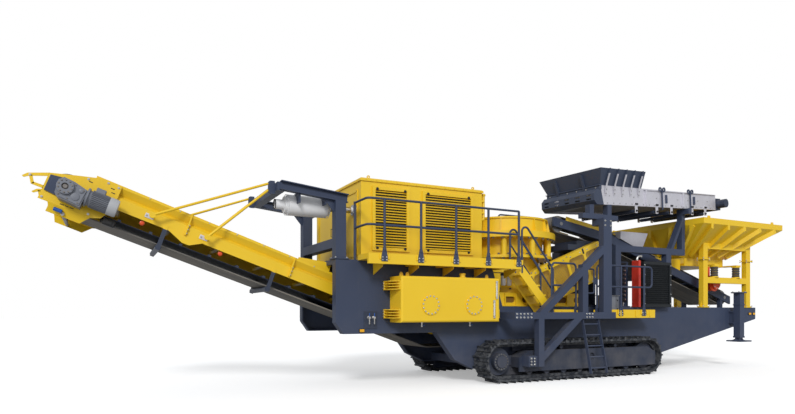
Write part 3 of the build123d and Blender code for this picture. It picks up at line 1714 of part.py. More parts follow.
def feed_skirts():
    """Low skirts at the head and taller boot plates where the feeder drops stone, on the side beams."""
    skirt = panel(
        [(skirt_x0, feed_top(skirt_x0)), (skirt_x1, feed_top(skirt_x1)),
         (skirt_x1, feed_top(skirt_x1) + skirt_height), (skirt_x0, feed_top(skirt_x0) + skirt_height)],
        -feed_half, -feed_half + skirt_sheet)
    boot = panel(
        [(boot_x0, feed_top(boot_x0)), (boot_x1, feed_top(boot_x1)), (boot_x1, boot_top_z),
         ((boot_x0 + boot_x1) / 2, boot_top_z)],
        -feed_half, -feed_half + skirt_sheet)
    return both_sides(skirt) + both_sides(boot)


def feed_chute():
    """A flared transition box that stands on the side beams and straddles the belt."""

    def level(inset, flare, z):
        length = chute_x1 - chute_x0 + 2 * (flare - inset)
        plan = Rectangle(length, 2 * (chute_half + flare - inset))
        return Pos((chute_x0 + chute_x1) / 2, 0, z) * plan

    shell = loft([level(0, 0, chute_low_z), level(0, chute_flare, chute_top_z)])
    t = chute_sheet
    shell -= loft([level(t, 0, chute_low_z), level(t, chute_flare, chute_top_z)])
    x0 = chute_x0 - chute_flare
    x1 = chute_x1 + chute_flare
    below = panel([(x0, feed_top(x0)), (x1, feed_top(x1)), (x1, 0), (x0, 0)], -2 * feed_half, 2 * feed_half)
    lift = (feed_drum_radius + belt_thickness + chute_room) / math.cos(feed_slope)
    over = lift - feed_beam_height / 2 / math.cos(feed_slope)
    belt_room = panel([(x0, feed_top(x0) + over), (x1, feed_top(x1) + over), (x1, 0), (x0, 0)],
                      -feed_belt_half - chute_room, feed_belt_half + chute_room)
    return shell - below - belt_room


# Coolers
def oil_cooler():
    y0 = -cooler_near_y
    y1 = y0 + cooler_depth
    z0 = rear_top_z
    z1 = z0 + cooler_height
    f = cooler_frame
    body = block(cooler_x0, cooler_x1, y0, y1, z0, z1)
    middle = ((cooler_x0 + cooler_x1) / 2, (z0 + z1) / 2)
    x, z = middle
    body -= rod((x, y1 - cooler_fan_depth, z), (x, y1 + overrun, z), cooler_fan_radius)
    body -= block(cooler_x0 + f, cooler_x1 - f, y0 - overrun, y0 + cooler_core_depth, z0 + f, z1 - f)
    return body


def cooler_cowl():
    y0 = -cooler_near_y
    body = block(cowl_x0, cowl_x1, y0, y0 + cowl_depth, rear_top_z, rear_top_z + cowl_height)
    return fillet(body.edges().filter_by(Axis.Y).sort_by(Axis.Z)[-2:], cowl_round)


# Feed hopper
hopper_low = (throat_x0, throat_x1, throat_half, throat_z)
hopper_top = (rim_x0, rim_x1, rim_half, rim_top_z - rim_height)


def hopper_corners(level, inset):
    x0, x1, half, z = level
    return [(x0 + inset, -half + inset, z), (x1 - inset, -half + inset, z),
            (x1 - inset, half - inset, z), (x0 + inset, half - inset, z)]


def hopper_room():
    """The sloping room between throat and rim, out to the outsides of the walls."""
    return loft([make_face(Polyline(*hopper_corners(level, 0), close=True))
                 for level in (hopper_low, hopper_top)])


def hopper_wall_plate(side):
    """One sloping wall, mitred to its neighbours at the corners."""
    faces = []
    for level in (hopper_low, hopper_top):
        outer = hopper_corners(level, 0)
        inner = hopper_corners(level, hopper_wall)
        after = (side + 1) % len(outer)
        faces.append(make_face(Polyline(outer[side], outer[after], inner[after], inner[side], close=True)))
    return loft(faces, ruled=True)


def hopper_ribs(side):
    """Flat ribs up the outside of a wall, cut off square under the rim."""
    low = hopper_corners(hopper_low, 0)
    top = hopper_corners(hopper_top, 0)
    after = (side + 1) % len(low)
    under_rim = block(rim_x0, rim_x1, -rim_half, rim_half, throat_z, rim_top_z - rim_height)
    bars = []
    for share in spread(hopper_rib_count, 0, 1):
        foot = [between(a, b, share) for a, b in zip(low[side], low[after])]
        head = [between(a, b, share) for a, b in zip(top[side], top[after])]
        foot = [between(a, b, hopper_rib_foot_share) for a, b in zip(foot, head)]
        bars.append((bar(foot, head, hopper_rib, 2 * hopper_rib_reach) & under_rim) - hopper_room())
    return bars


def feed_hopper():
    low = rim_top_z - rim_height
    solids = []
    for side in range(len(hopper_corners(hopper_low, 0))):
        wall = hopper_wall_plate(side)
        for rib in hopper_ribs(side):
            wall += rib
        solids += wall.solids()
    w = rim_width
    for y in (-rim_half, rim_half - w):
        solids += block(rim_x0, rim_x1, y, y + w, low, rim_top_z).solids()
    for x in (rim_x0, rim_x1 - w):
        solids += block(x, x + w, -rim_half + w, rim_half - w, low, rim_top_z).solids()
    return solids


def hopper_frame():
    """Two legs with foot and splice plates on each side, joined by two beams, cut to fit under the hopper."""
    y0 = -leg_near_y - leg_depth
    y1 = -leg_near_y
    low = rear_top_z
    top = rim_top_z - rim_height - overrun
    x0 = leg_xs[0] + leg_width
    x1 = leg_xs[1]
    side = block(x0, x1, y0, y0 + frame_beam_depth, low_beam_z, low_beam_z + frame_beam_height)
    side += block(x0, x1, y0, y0 + frame_beam_depth, high_beam_z, high_beam_z + frame_beam_height)
    for x in leg_xs:
        side += block(x, x + leg_width, y0, y1, low, top)
        side += block(x - leg_foot_lap, x + leg_width + leg_foot_lap, y0, y1, low, low + leg_foot_plate)
        lap = leg_flange_lap
        side += block(x - lap, x + leg_width + lap, y0 - lap, y1, leg_flange_z, leg_flange_z + leg_flange)
    side -= hopper_room()
    for rib in hopper_ribs(0):
        side -= rib
    return both_sides(side)


# Vibrating feeder
def vibrating_feeder():
    z0 = pan_bottom_z
    z1 = throat_z - fit_gap
    t = pan_sheet
    h = throat_half
    body = block(pan_x0, pan_x1, -h, h, z0, z1)
    body -= block(pan_x0 - overrun, pan_x1 - t, -h + t, h - t, z0 + t, z1 + overrun)
    beam_mid = leg_near_y + leg_depth - frame_beam_depth / 2
    for share in spring_shares:
        x = between(leg_xs[0] + leg_width, leg_xs[1], share)
        w = pan_ear_width / 2
        for side in (-1, 1):
            y_out = side * (beam_mid + spring_radius)
            y0, y1 = sorted((y_out, side * (h - t / 2)))
            body += block(x - w, x + w, y0, y1, z0, z0 + pan_ear)
    return body


def feeder_springs():
    beam_top = low_beam_z + frame_beam_height
    beam_mid = leg_near_y + leg_depth - frame_beam_depth / 2
    solids = []
    for share in spring_shares:
        x = between(leg_xs[0] + leg_width, leg_xs[1], share)
        one = rod((x, -beam_mid, beam_top), (x, -beam_mid, pan_bottom_z), spring_radius)
        solids += both_sides(one)
    return solids


def feeder_exciter():
    """A vibrating motor across the machine, hung from the pan by a plate beside the feed conveyor."""
    x = between(pan_x0, pan_x1, exciter_share)
    y0 = -leg_near_y + exciter_gap
    y1 = y0 + exciter_length
    z = exciter_z
    body = rod((x, y0 + exciter_cap, z), (x, y1, z), exciter_radius)
    body += rod((x, y0, z), (x, y0 + exciter_cap, z), exciter_cap_radius)
    half = exciter_plate_half
    body += block(x - half, x + half, y1 - exciter_plate, y1, z, pan_bottom_z)
    return body


# Jack legs
def jack_sleeve_near():
    h = jack_sleeve / 2
    y = -jack_y
    i = h - jack_wall
    body = block(jack_x - h, jack_x + h, y - h, y + h, jack_bottom_z, jack_top_z)
    body -= block(jack_x - i, jack_x + i, y - i, y + i, jack_bottom_z - overrun, jack_top_z + overrun)
    c = h + jack_cap_lap
    body += block(jack_x - c, jack_x + c, y - h, y + h, jack_top_z, jack_top_z + jack_cap)
    w = jack_bracket_width / 2
    z1 = rear_top_z - flange
    body += block(jack_x - w, jack_x + w, y + h, -chassis_half, z1 - 2 * jack_bracket_width + w, z1)
    return body


def jack_leg_near():
    h = jack_sleeve / 2 - jack_wall - jack_fit
    y = -jack_y
    low = jack_foot_z + jack_foot_plate
    high = jack_top_z - jack_top_room
    body = block(jack_x - h, jack_x + h, y - h, y + h, low, high)
    i = h - jack_leg_wall
    body -= block(jack_x - i, jack_x + i, y - i, y + i, low, high + overrun)
    fx = jack_foot_width / 2
    fy = jack_foot_depth / 2
    body += block(jack_x - fx, jack_x + fx, y - fy, y + fy, jack_foot_z, jack_foot_z + jack_foot_plate)
    return body


# Far platform
def far_platform():
    y0 = far_inner_y
    y1 = walk_outer_y
    low = far_floor_z - floor_plate
    joist = low - walk_joist_height
    body = block(far_x0, far_x1, y0, y1, low, far_floor_z)
    body += block(far_x0, far_x1, y1 - kick_sheet, y1, joist, far_floor_z + kick_height)
    for y in (y0, y1 - joist_width):
        body += block(far_x0, far_x1, y, y + joist_width, joist, low)
    for share in far_post_shares:
        x = between(far_x0, far_x1 - far_post, share)
        body += block(x, x + far_post, chassis_half - far_post, chassis_half, rear_top_z, joist)
        body += block(x, x + far_post, chassis_half - far_post, y1 - kick_sheet, joist, low)
    return body


def far_platform_rail():
    top = far_floor_z + rail_height
    middle = far_floor_z + rail_height * mid_rail_share
    foot = far_floor_z + kick_height / 2
    x0 = far_x0 + post_radius
    x1 = far_x1 - post_radius
    y = walk_outer_y + post_radius
    body = pipe([(x0, y, foot), (x0, y, top), (x1, y, top), (x1, y, foot)], rail_radius, rail_bend)
    body += rod((x0, y, middle), (x1, y, middle), rail_radius)
    for x in (x0, x1):
        body += block(x - rail_radius, x + rail_radius, walk_outer_y, y, far_floor_z - floor_plate,
                      foot + kick_height / 2)
    return body


keep("chassis_girder_near", chassis_girder())
keep("chassis_girder_far", far_side(chassis_girder()))
keep("chassis_cross_members", cross_members())
keep("power_deck", power_deck())
chain = track_chain()
frame = track_frame()
wheels = track_wheels()
keep("track_chain_near", chain)
keep("track_chain_far", far_side(chain))
keep("track_frame_near", frame)
keep("track_frame_far", far_side(frame))
keep("track_wheels_near", wheels)
keep("track_wheels_far", [far_side(w) for w in wheels])
keep("engine_housing", engine_housing())
keep("housing_roof", housing_roof())
keep("louvre_panels", *[louvre_panel(x, w) for x, w in zip(panel_starts, panel_widths)])
keep("upper_walkway", upper_walkway())
keep("upper_walkway_rail", upper_walkway_rail())
keep("service_tank", service_tank(), tank_back())
keep("gantry", gantry())
keep("stay_rods", stay_rods())
keep("exhaust_silencer", silencer())
keep("discharge_side_frames", discharge_side_frames())
keep("discharge_head_cheeks", discharge_head_cheeks())
keep("discharge_belt", belt_loop(discharge_path, drum_radius, belt_thickness, belt_half))
keep("discharge_drums", discharge_drums())
keep("discharge_gearmotor", discharge_gearmotor())
keep("crusher_subframe", crusher_subframe())
keep("crusher_main_frame", crusher_main_frame())
keep("crusher_bowl", crusher_bowl())
keep("crusher_mantle", crusher_mantle())
keep("drive_belt_guard", drive_belt_guard())
keep("drive_motor", drive_motor())
keep("lower_walkway", lower_walkway())
keep("lower_walkway_rails", lower_rails())
keep("ladder_gate", ladder_gate())
keep("boarding_ladder", boarding_ladder())
keep("access_stair", access_stair())
keep("stair_rails", stair_rails())
keep("return_support_frame", return_support_frame())
keep("portal_frame", portal_frame(), both_sides(feed_tail_seats()))
keep("return_side_panels", return_side_panels())
keep("return_boot", return_boot())
keep("return_tail_guard", return_tail_guard())
keep("return_belt", return_belt())
keep("return_drums", return_drums())
keep("return_drive", return_drive())
keep("feed_side_frames", feed_side_frames())
keep("feed_belt", belt_loop(feed_path, feed_drum_radius, belt_thickness, feed_belt_half))
keep("feed_drums", feed_drums())
keep("feed_skirts", feed_skirts())
keep("feed_chute", feed_chute())
keep("oil_cooler", oil_cooler())
keep("cooler_cowl", cooler_cowl())
keep("feed_hopper", feed_hopper())
keep("hopper_frame", hopper_frame())
keep("vibrating_feeder", vibrating_feeder(), feeder_springs())
keep("feeder_exciter", feeder_exciter())
keep("jack_sleeves", both_sides(jack_sleeve_near()))
keep("jack_leg_near", jack_leg_near())
keep("jack_leg_far", far_side(jack_leg_near()))
keep("far_platform", far_platform())
keep("far_platform_rail", far_platform_rail())

# The origin lies on the ground under the middle of the whole machine
whole = Compound([s for solids in nodes.values() for s in solids]).bounding_box()
to_origin = Pos(-whole.center().X, -whole.center().Y, -whole.min.Z)
os.makedirs("parts", exist_ok=True)
for name, solids in nodes.items():
    moved = [to_origin * s for s in solids]
    export_step(Compound(moved), f"parts/{name}.step")
    print(name, len(moved))
print("origin in drawing", whole.center().X, whole.center().Y, whole.min.Z)
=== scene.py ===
# %% [markdown]
# # A tracked cone crushing plant, dressed from its solids
# The solids of the plant come in as a fixed frame: every piece below is put where that frame says, in metres,
# and nothing of the frame is moved. What the solids leave out, such as bolts, screens, straps, latches and
# finishes, is made here, one step at a time.

# %% Load the frame
import json
import math
import bmesh
import bpy
from mathutils import Matrix, Vector


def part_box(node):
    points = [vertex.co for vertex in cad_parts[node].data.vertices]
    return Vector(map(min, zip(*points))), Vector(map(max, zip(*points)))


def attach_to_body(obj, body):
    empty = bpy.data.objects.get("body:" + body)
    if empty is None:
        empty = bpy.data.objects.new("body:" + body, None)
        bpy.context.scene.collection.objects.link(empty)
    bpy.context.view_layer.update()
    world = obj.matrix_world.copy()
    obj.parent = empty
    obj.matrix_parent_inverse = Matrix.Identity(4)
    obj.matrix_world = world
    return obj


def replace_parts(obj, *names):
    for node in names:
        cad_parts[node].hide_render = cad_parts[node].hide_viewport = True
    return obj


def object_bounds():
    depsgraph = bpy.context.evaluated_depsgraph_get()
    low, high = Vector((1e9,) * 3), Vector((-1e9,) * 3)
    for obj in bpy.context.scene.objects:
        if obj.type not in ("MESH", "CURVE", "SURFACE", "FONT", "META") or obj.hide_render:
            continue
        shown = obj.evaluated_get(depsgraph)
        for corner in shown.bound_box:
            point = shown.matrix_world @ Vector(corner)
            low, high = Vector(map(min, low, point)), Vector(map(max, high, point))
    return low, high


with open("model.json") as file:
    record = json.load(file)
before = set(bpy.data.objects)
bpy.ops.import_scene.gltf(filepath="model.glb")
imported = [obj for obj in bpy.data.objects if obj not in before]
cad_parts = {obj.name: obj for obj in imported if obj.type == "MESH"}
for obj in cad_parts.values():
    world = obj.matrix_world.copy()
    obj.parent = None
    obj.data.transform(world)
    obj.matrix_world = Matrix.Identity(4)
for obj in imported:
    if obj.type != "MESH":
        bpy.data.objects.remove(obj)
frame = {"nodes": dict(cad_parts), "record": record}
cad_low, cad_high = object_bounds()
nodes = frame["nodes"]
scene = bpy.context.scene
print("solids:", len(nodes), "box", [round(v, 2) for v in (*cad_low, *cad_high)])

# %% [markdown]
# The plant was drawn with X measured from the camera's foot and Y from the middle of the chassis, and the
# frame was then moved so that its origin lies under the middle of the whole machine. One corner of the near
# chassis girder, known in both, gives that step, so places can be written as they were drawn.

# %% Places as drawn
DRAWN_CORNER = Vector((3.75, -1.10, 0.28))
step_to_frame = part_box("chassis_girder_near")[0] - DRAWN_CORNER
LEFT, RIGHT, NEAR, FAR, UP, DOWN = (Vector(v) for v in (
    (-1, 0, 0), (1, 0, 0), (0, -1, 0), (0, 1, 0), (0, 0, 1), (0, 0, -1)))
SIDES = ((-1, NEAR), (1, FAR))


def at(x, y, z):
    return Vector((x, y, z)) + step_to_frame


def on_face(x, z, y):
    """A place drawn in X and Z, on a face that the frame gives in Y."""
    return Vector((at(x, 0, z).x, y, at(x, 0, z).z))


def ring(centre, axis, radius, count, start=0.0):
    """Places round a circle about an axis."""
    side = axis.orthogonal().normalized()
    across = axis.cross(side).normalized()
    angles = [start + math.tau * i / count for i in range(count)]
    return [centre + radius * (side * math.cos(a) + across * math.sin(a)) for a in angles]


def round_heads(centre, out, radius, count, start=0.0):
    """Bolts round a circle that all look the same way."""
    return [(p, out) for p in ring(centre, out, radius, count, start)]


def enter(name, data):
    """Brings a mesh, lamp or camera into the scene."""
    entered = bpy.data.objects.new(name, data)
    scene.collection.objects.link(entered)
    return entered


print("step from the drawing:", [round(v, 4) for v in step_to_frame])

# %% [markdown]
# Sky, floor, finishes and the trees for what repeats are all made of nodes. One helper adds a node and gives
# each of its inputs a plain value or a wire, so a tree reads from top to bottom.

# %% Helpers for nodes
COLOUR, NUMBER = "NodeSocketColor", "NodeSocketFloat"


def blank_tree(owner):
    owner.use_nodes = True
    owner.node_tree.nodes.clear()
    return owner.node_tree


def node(tree, kind, inputs=None, **settings):
    """Adds a node, sets its properties, and gives each input a value or a wire from another node."""
    made = tree.nodes.new(kind)
    for key, value in settings.items():
        setattr(made, key, value)
    for key, value in (inputs or {}).items():
        if isinstance(value, bpy.types.NodeSocket):
            tree.links.new(value, made.inputs[key])
        else:
            made.inputs[key].default_value = value
    return made


def remap(tree, value, low, high, to_low=0.0, to_high=1.0):
    return node(tree, "ShaderNodeMapRange", {
        "Value": value, "From Min": low, "From Max": high, "To Min": to_low, "To Max": to_high}).outputs[0]


def noise(tree, vector, scale, low, high, detail=3.0):
    """Noise on Object coordinates, stretched so that low is 0 and high is 1."""
    texture = node(tree, "ShaderNodeTexNoise", {"Vector": vector, "Scale": scale, "Detail": detail})
    return remap(tree, texture.outputs[0], low, high)


def maths(tree, operation, a, b):
    return node(tree, "ShaderNodeMath", {0: a, 1: b}, operation=operation).outputs[0]


def times(tree, a, b):
    return maths(tree, "MULTIPLY", a, b)


def plus(tree, a, b):
    return maths(tree, "ADD", a, b)


def tint(tree, factor, a, b):
    """Mixes two colours, each a socket or a colour."""
    return node(tree, "ShaderNodeMix", {0: factor, 6: a, 7: b}, data_type="RGBA").outputs[2]


print("node helpers ready")

# %% [markdown]
# ## Camera, floor and light
# The photograph was taken level, from about eye height, with its frame shifted up. A tilted camera could show
# the same view, but then upright posts would lean together. A level camera with a vertical shift keeps them
# upright, as they are in the photograph.

# %% Camera
PHOTO_WIDTH = 795
FOCAL_PIXELS = 590.0
HORIZON_ROW = 311.5
MIDDLE_ROW = 207.0
YAW = math.radians(26.4)
sensor = bpy.data.cameras.new("photo_camera")
sensor.sensor_width = 36.0
sensor.lens = sensor.sensor_width * FOCAL_PIXELS / PHOTO_WIDTH
sensor.shift_y = (HORIZON_ROW - MIDDLE_ROW) / PHOTO_WIDTH
sensor.clip_end = 400.0
camera = enter("photo_camera", sensor)
camera.location = at(0.0, -11.17, 1.444)
camera.rotation_euler = (math.pi / 2, 0.0, -YAW)
scene.camera = camera
print("lens", round(sensor.lens, 2), "shift", round(sensor.shift_y, 4))

# %% [markdown]
# The light is soft and comes from all sides. A picture of a sky could give it, but a plain fill and three
# wide suns can each be set on their own: a key from the near left, a weak fill from the near right and one
# along the plant. The sky looks white only to the camera, so that white doesn't light the plant.

# %% Sky and lamps
SKY_TONE, SKY_FILL = (0.93, 0.96, 1.0, 1), 0.48
LAMP_HEIGHT = 20
LAMPS = (("key_sun", 1.80, 14, (0.50, 0.88, -0.58)),
         ("front_fill", 0.34, 60, (-0.35, 0.9, -0.30)),
         ("left_fill", 0.60, 50, (0.88, 0.36, -0.12)))
scene.view_settings.view_transform = "Standard"
scene.world = bpy.data.worlds.new("white_studio")
sky = blank_tree(scene.world)
fill = node(sky, "ShaderNodeBackground", {"Color": SKY_TONE, "Strength": SKY_FILL})
white = node(sky, "ShaderNodeBackground", {"Color": (1, 1, 1, 1), "Strength": 1.0})
seen = node(sky, "ShaderNodeLightPath").outputs["Is Camera Ray"]
blend = node(sky, "ShaderNodeMixShader", {0: seen, 1: fill.outputs[0], 2: white.outputs[0]})
node(sky, "ShaderNodeOutputWorld", {"Surface": blend.outputs[0]})
for name, strength, angle, towards in LAMPS:
    light = bpy.data.lights.new(name, "SUN")
    light.energy, light.angle = strength, math.radians(angle)
    lamp = enter(name, light)
    lamp.location.z = LAMP_HEIGHT
    lamp.rotation_mode = "QUATERNION"
    lamp.rotation_quaternion = Vector(towards).to_track_quat("-Z", "Y")

# %% [markdown]
# The floor is one large plane. It belongs to the stage, so it is not a piece of the plant. For the camera it
# has a little glow, so that it runs into the sky without an edge and still takes the shadow. For all other
# rays it is a plain grey, so that it doesn't light the underside too much.

# %% Floor
FLOOR_HALF = 120.0
FLOOR_TONE, FLOOR_SEEN, FLOOR_GLOW = (0.52, 0.52, 0.52, 1), (0.92, 0.92, 0.92, 1), 0.34
floor_mesh = bpy.data.meshes.new("studio_floor")
corners = [(x * FLOOR_HALF, y * FLOOR_HALF, 0) for x, y in ((-1, -1), (1, -1), (1, 1), (-1, 1))]
floor_mesh.from_pydata(corners, [], [(0, 1, 2, 3)])
floor = enter("studio_floor", floor_mesh)
floor.location.z = cad_low.z - 0.001
pale = bpy.data.materials.new("pale_floor")
tree = blank_tree(pale)
matt = node(tree, "ShaderNodeBsdfDiffuse", {"Color": FLOOR_TONE})
shown = node(tree, "ShaderNodeBsdfDiffuse", {"Color": FLOOR_SEEN})
glow = node(tree, "ShaderNodeEmission", {"Strength": FLOOR_GLOW})
bright = node(tree, "ShaderNodeAddShader", {0: shown.outputs[0], 1: glow.outputs[0]})
seen = node(tree, "ShaderNodeLightPath").outputs["Is Camera Ray"]
mix = node(tree, "ShaderNodeMixShader", {0: seen, 1: matt.outputs[0], 2: bright.outputs[0]})
node(tree, "ShaderNodeOutputMaterial", {"Surface": mix.outputs[0]})
floor_mesh.materials.append(pale)
print("floor at", round(floor.location.z, 3))

# %% [markdown]
# ## Finishes
# Paint, bare metal and rubber are each one node group, placed in every material that needs it. A material
# could carry all those nodes itself, but then a change would have to be made many times. A group puts out
# only a colour, a roughness and a height, and each material keeps its own Principled shader.

# %% Start and end of a group


def shader_group(name, inputs):
    """Starts a group that puts out a colour, a roughness and a height."""
    group = bpy.data.node_groups.new(name, "ShaderNodeTree")
    for label, value in inputs.items():
        kind = COLOUR if isinstance(value, tuple) else NUMBER
        group.interface.new_socket(label, in_out="INPUT", socket_type=kind).default_value = value
    for label, kind in (("Colour", COLOUR), ("Roughness", NUMBER), ("Height", NUMBER)):
        group.interface.new_socket(label, in_out="OUTPUT", socket_type=kind)
    where = node(group, "ShaderNodeTexCoord").outputs["Object"]
    return group, group.nodes.new("NodeGroupInput").outputs, where


def put_out(group, colour, rough, height):
    node(group, "NodeGroupOutput", {"Colour": colour, "Roughness": rough, "Height": height})
    return group


print("groups can be made")

# %% [markdown]
# The plant is new, so its paint is clean: a broad drift of tone, a fine orange-peel skin, pale dust on the
# faces that look up and a little more near the ground. A painted picture would need an unwrapped map on every
# solid. Noise on Object coordinates needs no map and runs on across pieces without a seam.

# %% Group: paint in the open air


def open_air_paint():
    group, given, where = shader_group("open_air_paint", {
        "Paint": (0.8, 0.5, 0.03, 1), "Shade": (0.6, 0.36, 0.02, 1), "Dust": (0.42, 0.37, 0.30, 1),
        "Dust Amount": 0.3, "Roughness": 0.4})
    facing = node(group, "ShaderNodeNewGeometry").outputs["Normal"]
    looks_up = node(group, "ShaderNodeSeparateXYZ", {"Vector": facing}).outputs["Z"]
    height = node(group, "ShaderNodeSeparateXYZ", {"Vector": where}).outputs["Z"]
    drift = noise(group, where, 0.55, 0.34, 0.66)
    stretched = node(group, "ShaderNodeMapping", {"Vector": where, "Scale": (6.0, 6.0, 0.3)}).outputs[0]
    runs = noise(group, stretched, 1.4, 0.56, 0.82)
    blotch = noise(group, where, 3.2, 0.32, 0.70, 6.0)
    settled = times(group, remap(group, looks_up, 0.35, 0.95), 0.75)
    splashed = times(group, remap(group, height, 1.5, 0.1), 0.6)
    amount = plus(group, plus(group, settled, splashed), times(group, runs, 0.22))
    dust = times(group, times(group, amount, blotch), given["Dust Amount"])
    tone = tint(group, drift, given["Paint"], given["Shade"])
    colour = tint(group, dust, tone, given["Dust"])
    rough = plus(group, given["Roughness"], times(group, dust, 0.4))
    rough = plus(group, rough, times(group, drift, 0.05))
    peel = times(group, noise(group, where, 240.0, 0.3, 0.7, 2.0), 0.5)
    return put_out(group, colour, rough, plus(group, peel, times(group, dust, 0.8)))


paint_group = open_air_paint()
print("group", paint_group.name, len(paint_group.nodes), "nodes")

# %% [markdown]
# Zinc-coated sheet shows a spangle of crystals, and castings show grain and stains. Voronoi cells give every
# crystal its own tone, and noise gives the rest. One group serves sheet, castings and track shoes, because
# only their values differ.

# %% Group: bare and worn metal


def worn_metal():
    group, given, where = shader_group("worn_metal", {
        "Steel": (0.4, 0.4, 0.4, 1), "Stain": (0.16, 0.11, 0.08, 1), "Stain Amount": 0.3, "Grain": 30.0,
        "Roughness": 0.4})
    spangle = node(group, "ShaderNodeTexVoronoi", {"Vector": where, "Scale": given["Grain"]})
    flakes = node(group, "ShaderNodeSeparateColor", {"Color": spangle.outputs["Color"]}).outputs[0]
    patches = noise(group, where, 2.3, 0.42, 0.74, 6.0)
    fine = noise(group, where, 60.0, 0.25, 0.75, 4.0)
    lit = tint(group, times(group, flakes, 0.10), given["Steel"], (1.0, 1.0, 1.0, 1))
    shaded = tint(group, times(group, fine, 0.18), lit, (0.02, 0.02, 0.02, 1))
    stain = times(group, patches, given["Stain Amount"])
    colour = tint(group, stain, shaded, given["Stain"])
    rough = plus(group, given["Roughness"], times(group, stain, 0.35))
    rough = plus(group, rough, times(group, flakes, 0.08))
    return put_out(group, colour, rough, plus(group, fine, stain))


metal_group = worn_metal()
print("group", metal_group.name, len(metal_group.nodes), "nodes")

# %% [markdown]
# A belt carries stone along its middle, so its dust lies in lanes along the run. Noise that is stretched by a
# Mapping node gives such lanes in one step, where drawn stripes would look too even.

# %% Group: dusty rubber


def dusty_rubber():
    group, given, where = shader_group("dusty_rubber", {
        "Rubber": (0.05, 0.048, 0.045, 1), "Dust": (0.27, 0.24, 0.20, 1), "Dust Amount": 0.4})
    along = node(group, "ShaderNodeMapping", {"Vector": where, "Scale": (0.5, 7.0, 0.5)}).outputs[0]
    lanes = noise(group, along, 1.6, 0.3, 0.72, 5.0)
    speck = noise(group, where, 90.0, 0.3, 0.8, 3.0)
    dust = times(group, lanes, given["Dust Amount"])
    colour = tint(group, dust, given["Rubber"], given["Dust"])
    return put_out(group, colour, remap(group, dust, 0.0, 1.0, 0.62, 0.9), plus(group, speck, dust))


rubber_group = dusty_rubber()
print("group", rubber_group.name, len(rubber_group.nodes), "nodes")

# %% [markdown]
# Each material feeds one of the groups into its own Principled shader. A look has the name of the slot that
# it fills, and a look with another name is listed with the slot that it belongs to. With one table of looks,
# a colour is changed in one place.

# %% Materials
PAINT_BUMP, METAL_BUMP, RELIEF = 0.12, 0.2, 0.003
YELLOW_PAIR = ((0.83, 0.55, 0.020), (0.79, 0.51, 0.016))
CHARCOAL_PAIR = ((0.034, 0.045, 0.076), (0.027, 0.036, 0.062))


def shade(tree, skin, colour, bump, metallic=0.0, specular=0.5):
    """Ends a material with its own Principled shader."""
    relief = node(tree, "ShaderNodeBump", {"Height": skin["Height"], "Strength": bump, "Distance": RELIEF})
    shader = node(tree, "ShaderNodeBsdfPrincipled", {
        "Base Color": colour, "Roughness": skin["Roughness"], "Normal": relief.outputs[0],
        "Metallic": metallic, "Specular IOR Level": specular})
    node(tree, "ShaderNodeOutputMaterial", {"Surface": shader.outputs[0]})


def finish(name, group, values, bump, metallic=0.0, specular=0.5):
    material = bpy.data.materials.new(name)
    tree = blank_tree(material)
    skin = node(tree, "ShaderNodeGroup", values, node_tree=group).outputs
    shade(tree, skin, skin["Colour"], bump, metallic, specular)
    return material


def paint_values(colour, shade_colour, dust, rough):
    return {"Paint": (*colour, 1), "Shade": (*shade_colour, 1), "Dust Amount": dust, "Roughness": rough}


def paint(name, colour, shade_colour, dust=0.3, rough=0.38, specular=0.4):
    values = paint_values(colour, shade_colour, dust, rough)
    return finish(name, paint_group, values, PAINT_BUMP, specular=specular)


def metal(name, colour, stain=0.3, rough=0.35, grain=30.0, metallic=0.9, tone=(0.16, 0.11, 0.08)):
    values = {"Steel": (*colour, 1), "Stain": (*tone, 1), "Stain Amount": stain, "Grain": grain,
              "Roughness": rough}
    return finish(name, metal_group, values, METAL_BUMP, metallic=metallic)


belt_values = {"Rubber": (0.11, 0.106, 0.100, 1), "Dust Amount": 0.95}
looks = {
    "yellow_paint": paint("machine_yellow", *YELLOW_PAIR, 0.16, 0.34),
    "slate_paint": paint("dark_slate", (0.045, 0.060, 0.106), (0.039, 0.052, 0.092), 0.16, 0.42, 0.3),
    "charcoal_paint": paint("charcoal", *CHARCOAL_PAIR, 0.25, 0.46, 0.3),
    "white_paint": paint("heat_white", (0.84, 0.84, 0.85), (0.79, 0.79, 0.80), 0.10, 0.34),
    "grey_paint": paint("gear_grey", (0.20, 0.213, 0.248), (0.17, 0.181, 0.211), 0.20, 0.40),
    "black_paint": paint("cooler_black", (0.014, 0.017, 0.020), (0.010, 0.012, 0.014), 0.12, 0.42, 0.3),
    "red_paint": paint("cowl_red", (0.60, 0.045, 0.027), (0.51, 0.036, 0.021), 0.10, 0.32),
    "orange_paint": paint("exciter_orange", (0.72, 0.085, 0.018), (0.60, 0.065, 0.014), 0.15, 0.36),
    "track_steel": metal("track_steel", (0.006, 0.010, 0.019), 0.22, 0.5, 18.0, 0.15, (0.015, 0.019, 0.026)),
    "grey_steel": metal("drum_steel", (0.38, 0.38, 0.39), 0.35, 0.38),
    "cast_steel": metal("manganese_cast", (0.22, 0.215, 0.21), 0.5, 0.5, 12.0),
    "galvanised": metal("galvanised_sheet", (0.71, 0.70, 0.76), 0.14, 0.38, 22.0, 0.45, (0.30, 0.27, 0.26)),
    "black_rubber": finish("belt_rubber", rubber_group, belt_values, 0.25, specular=0.3),
}
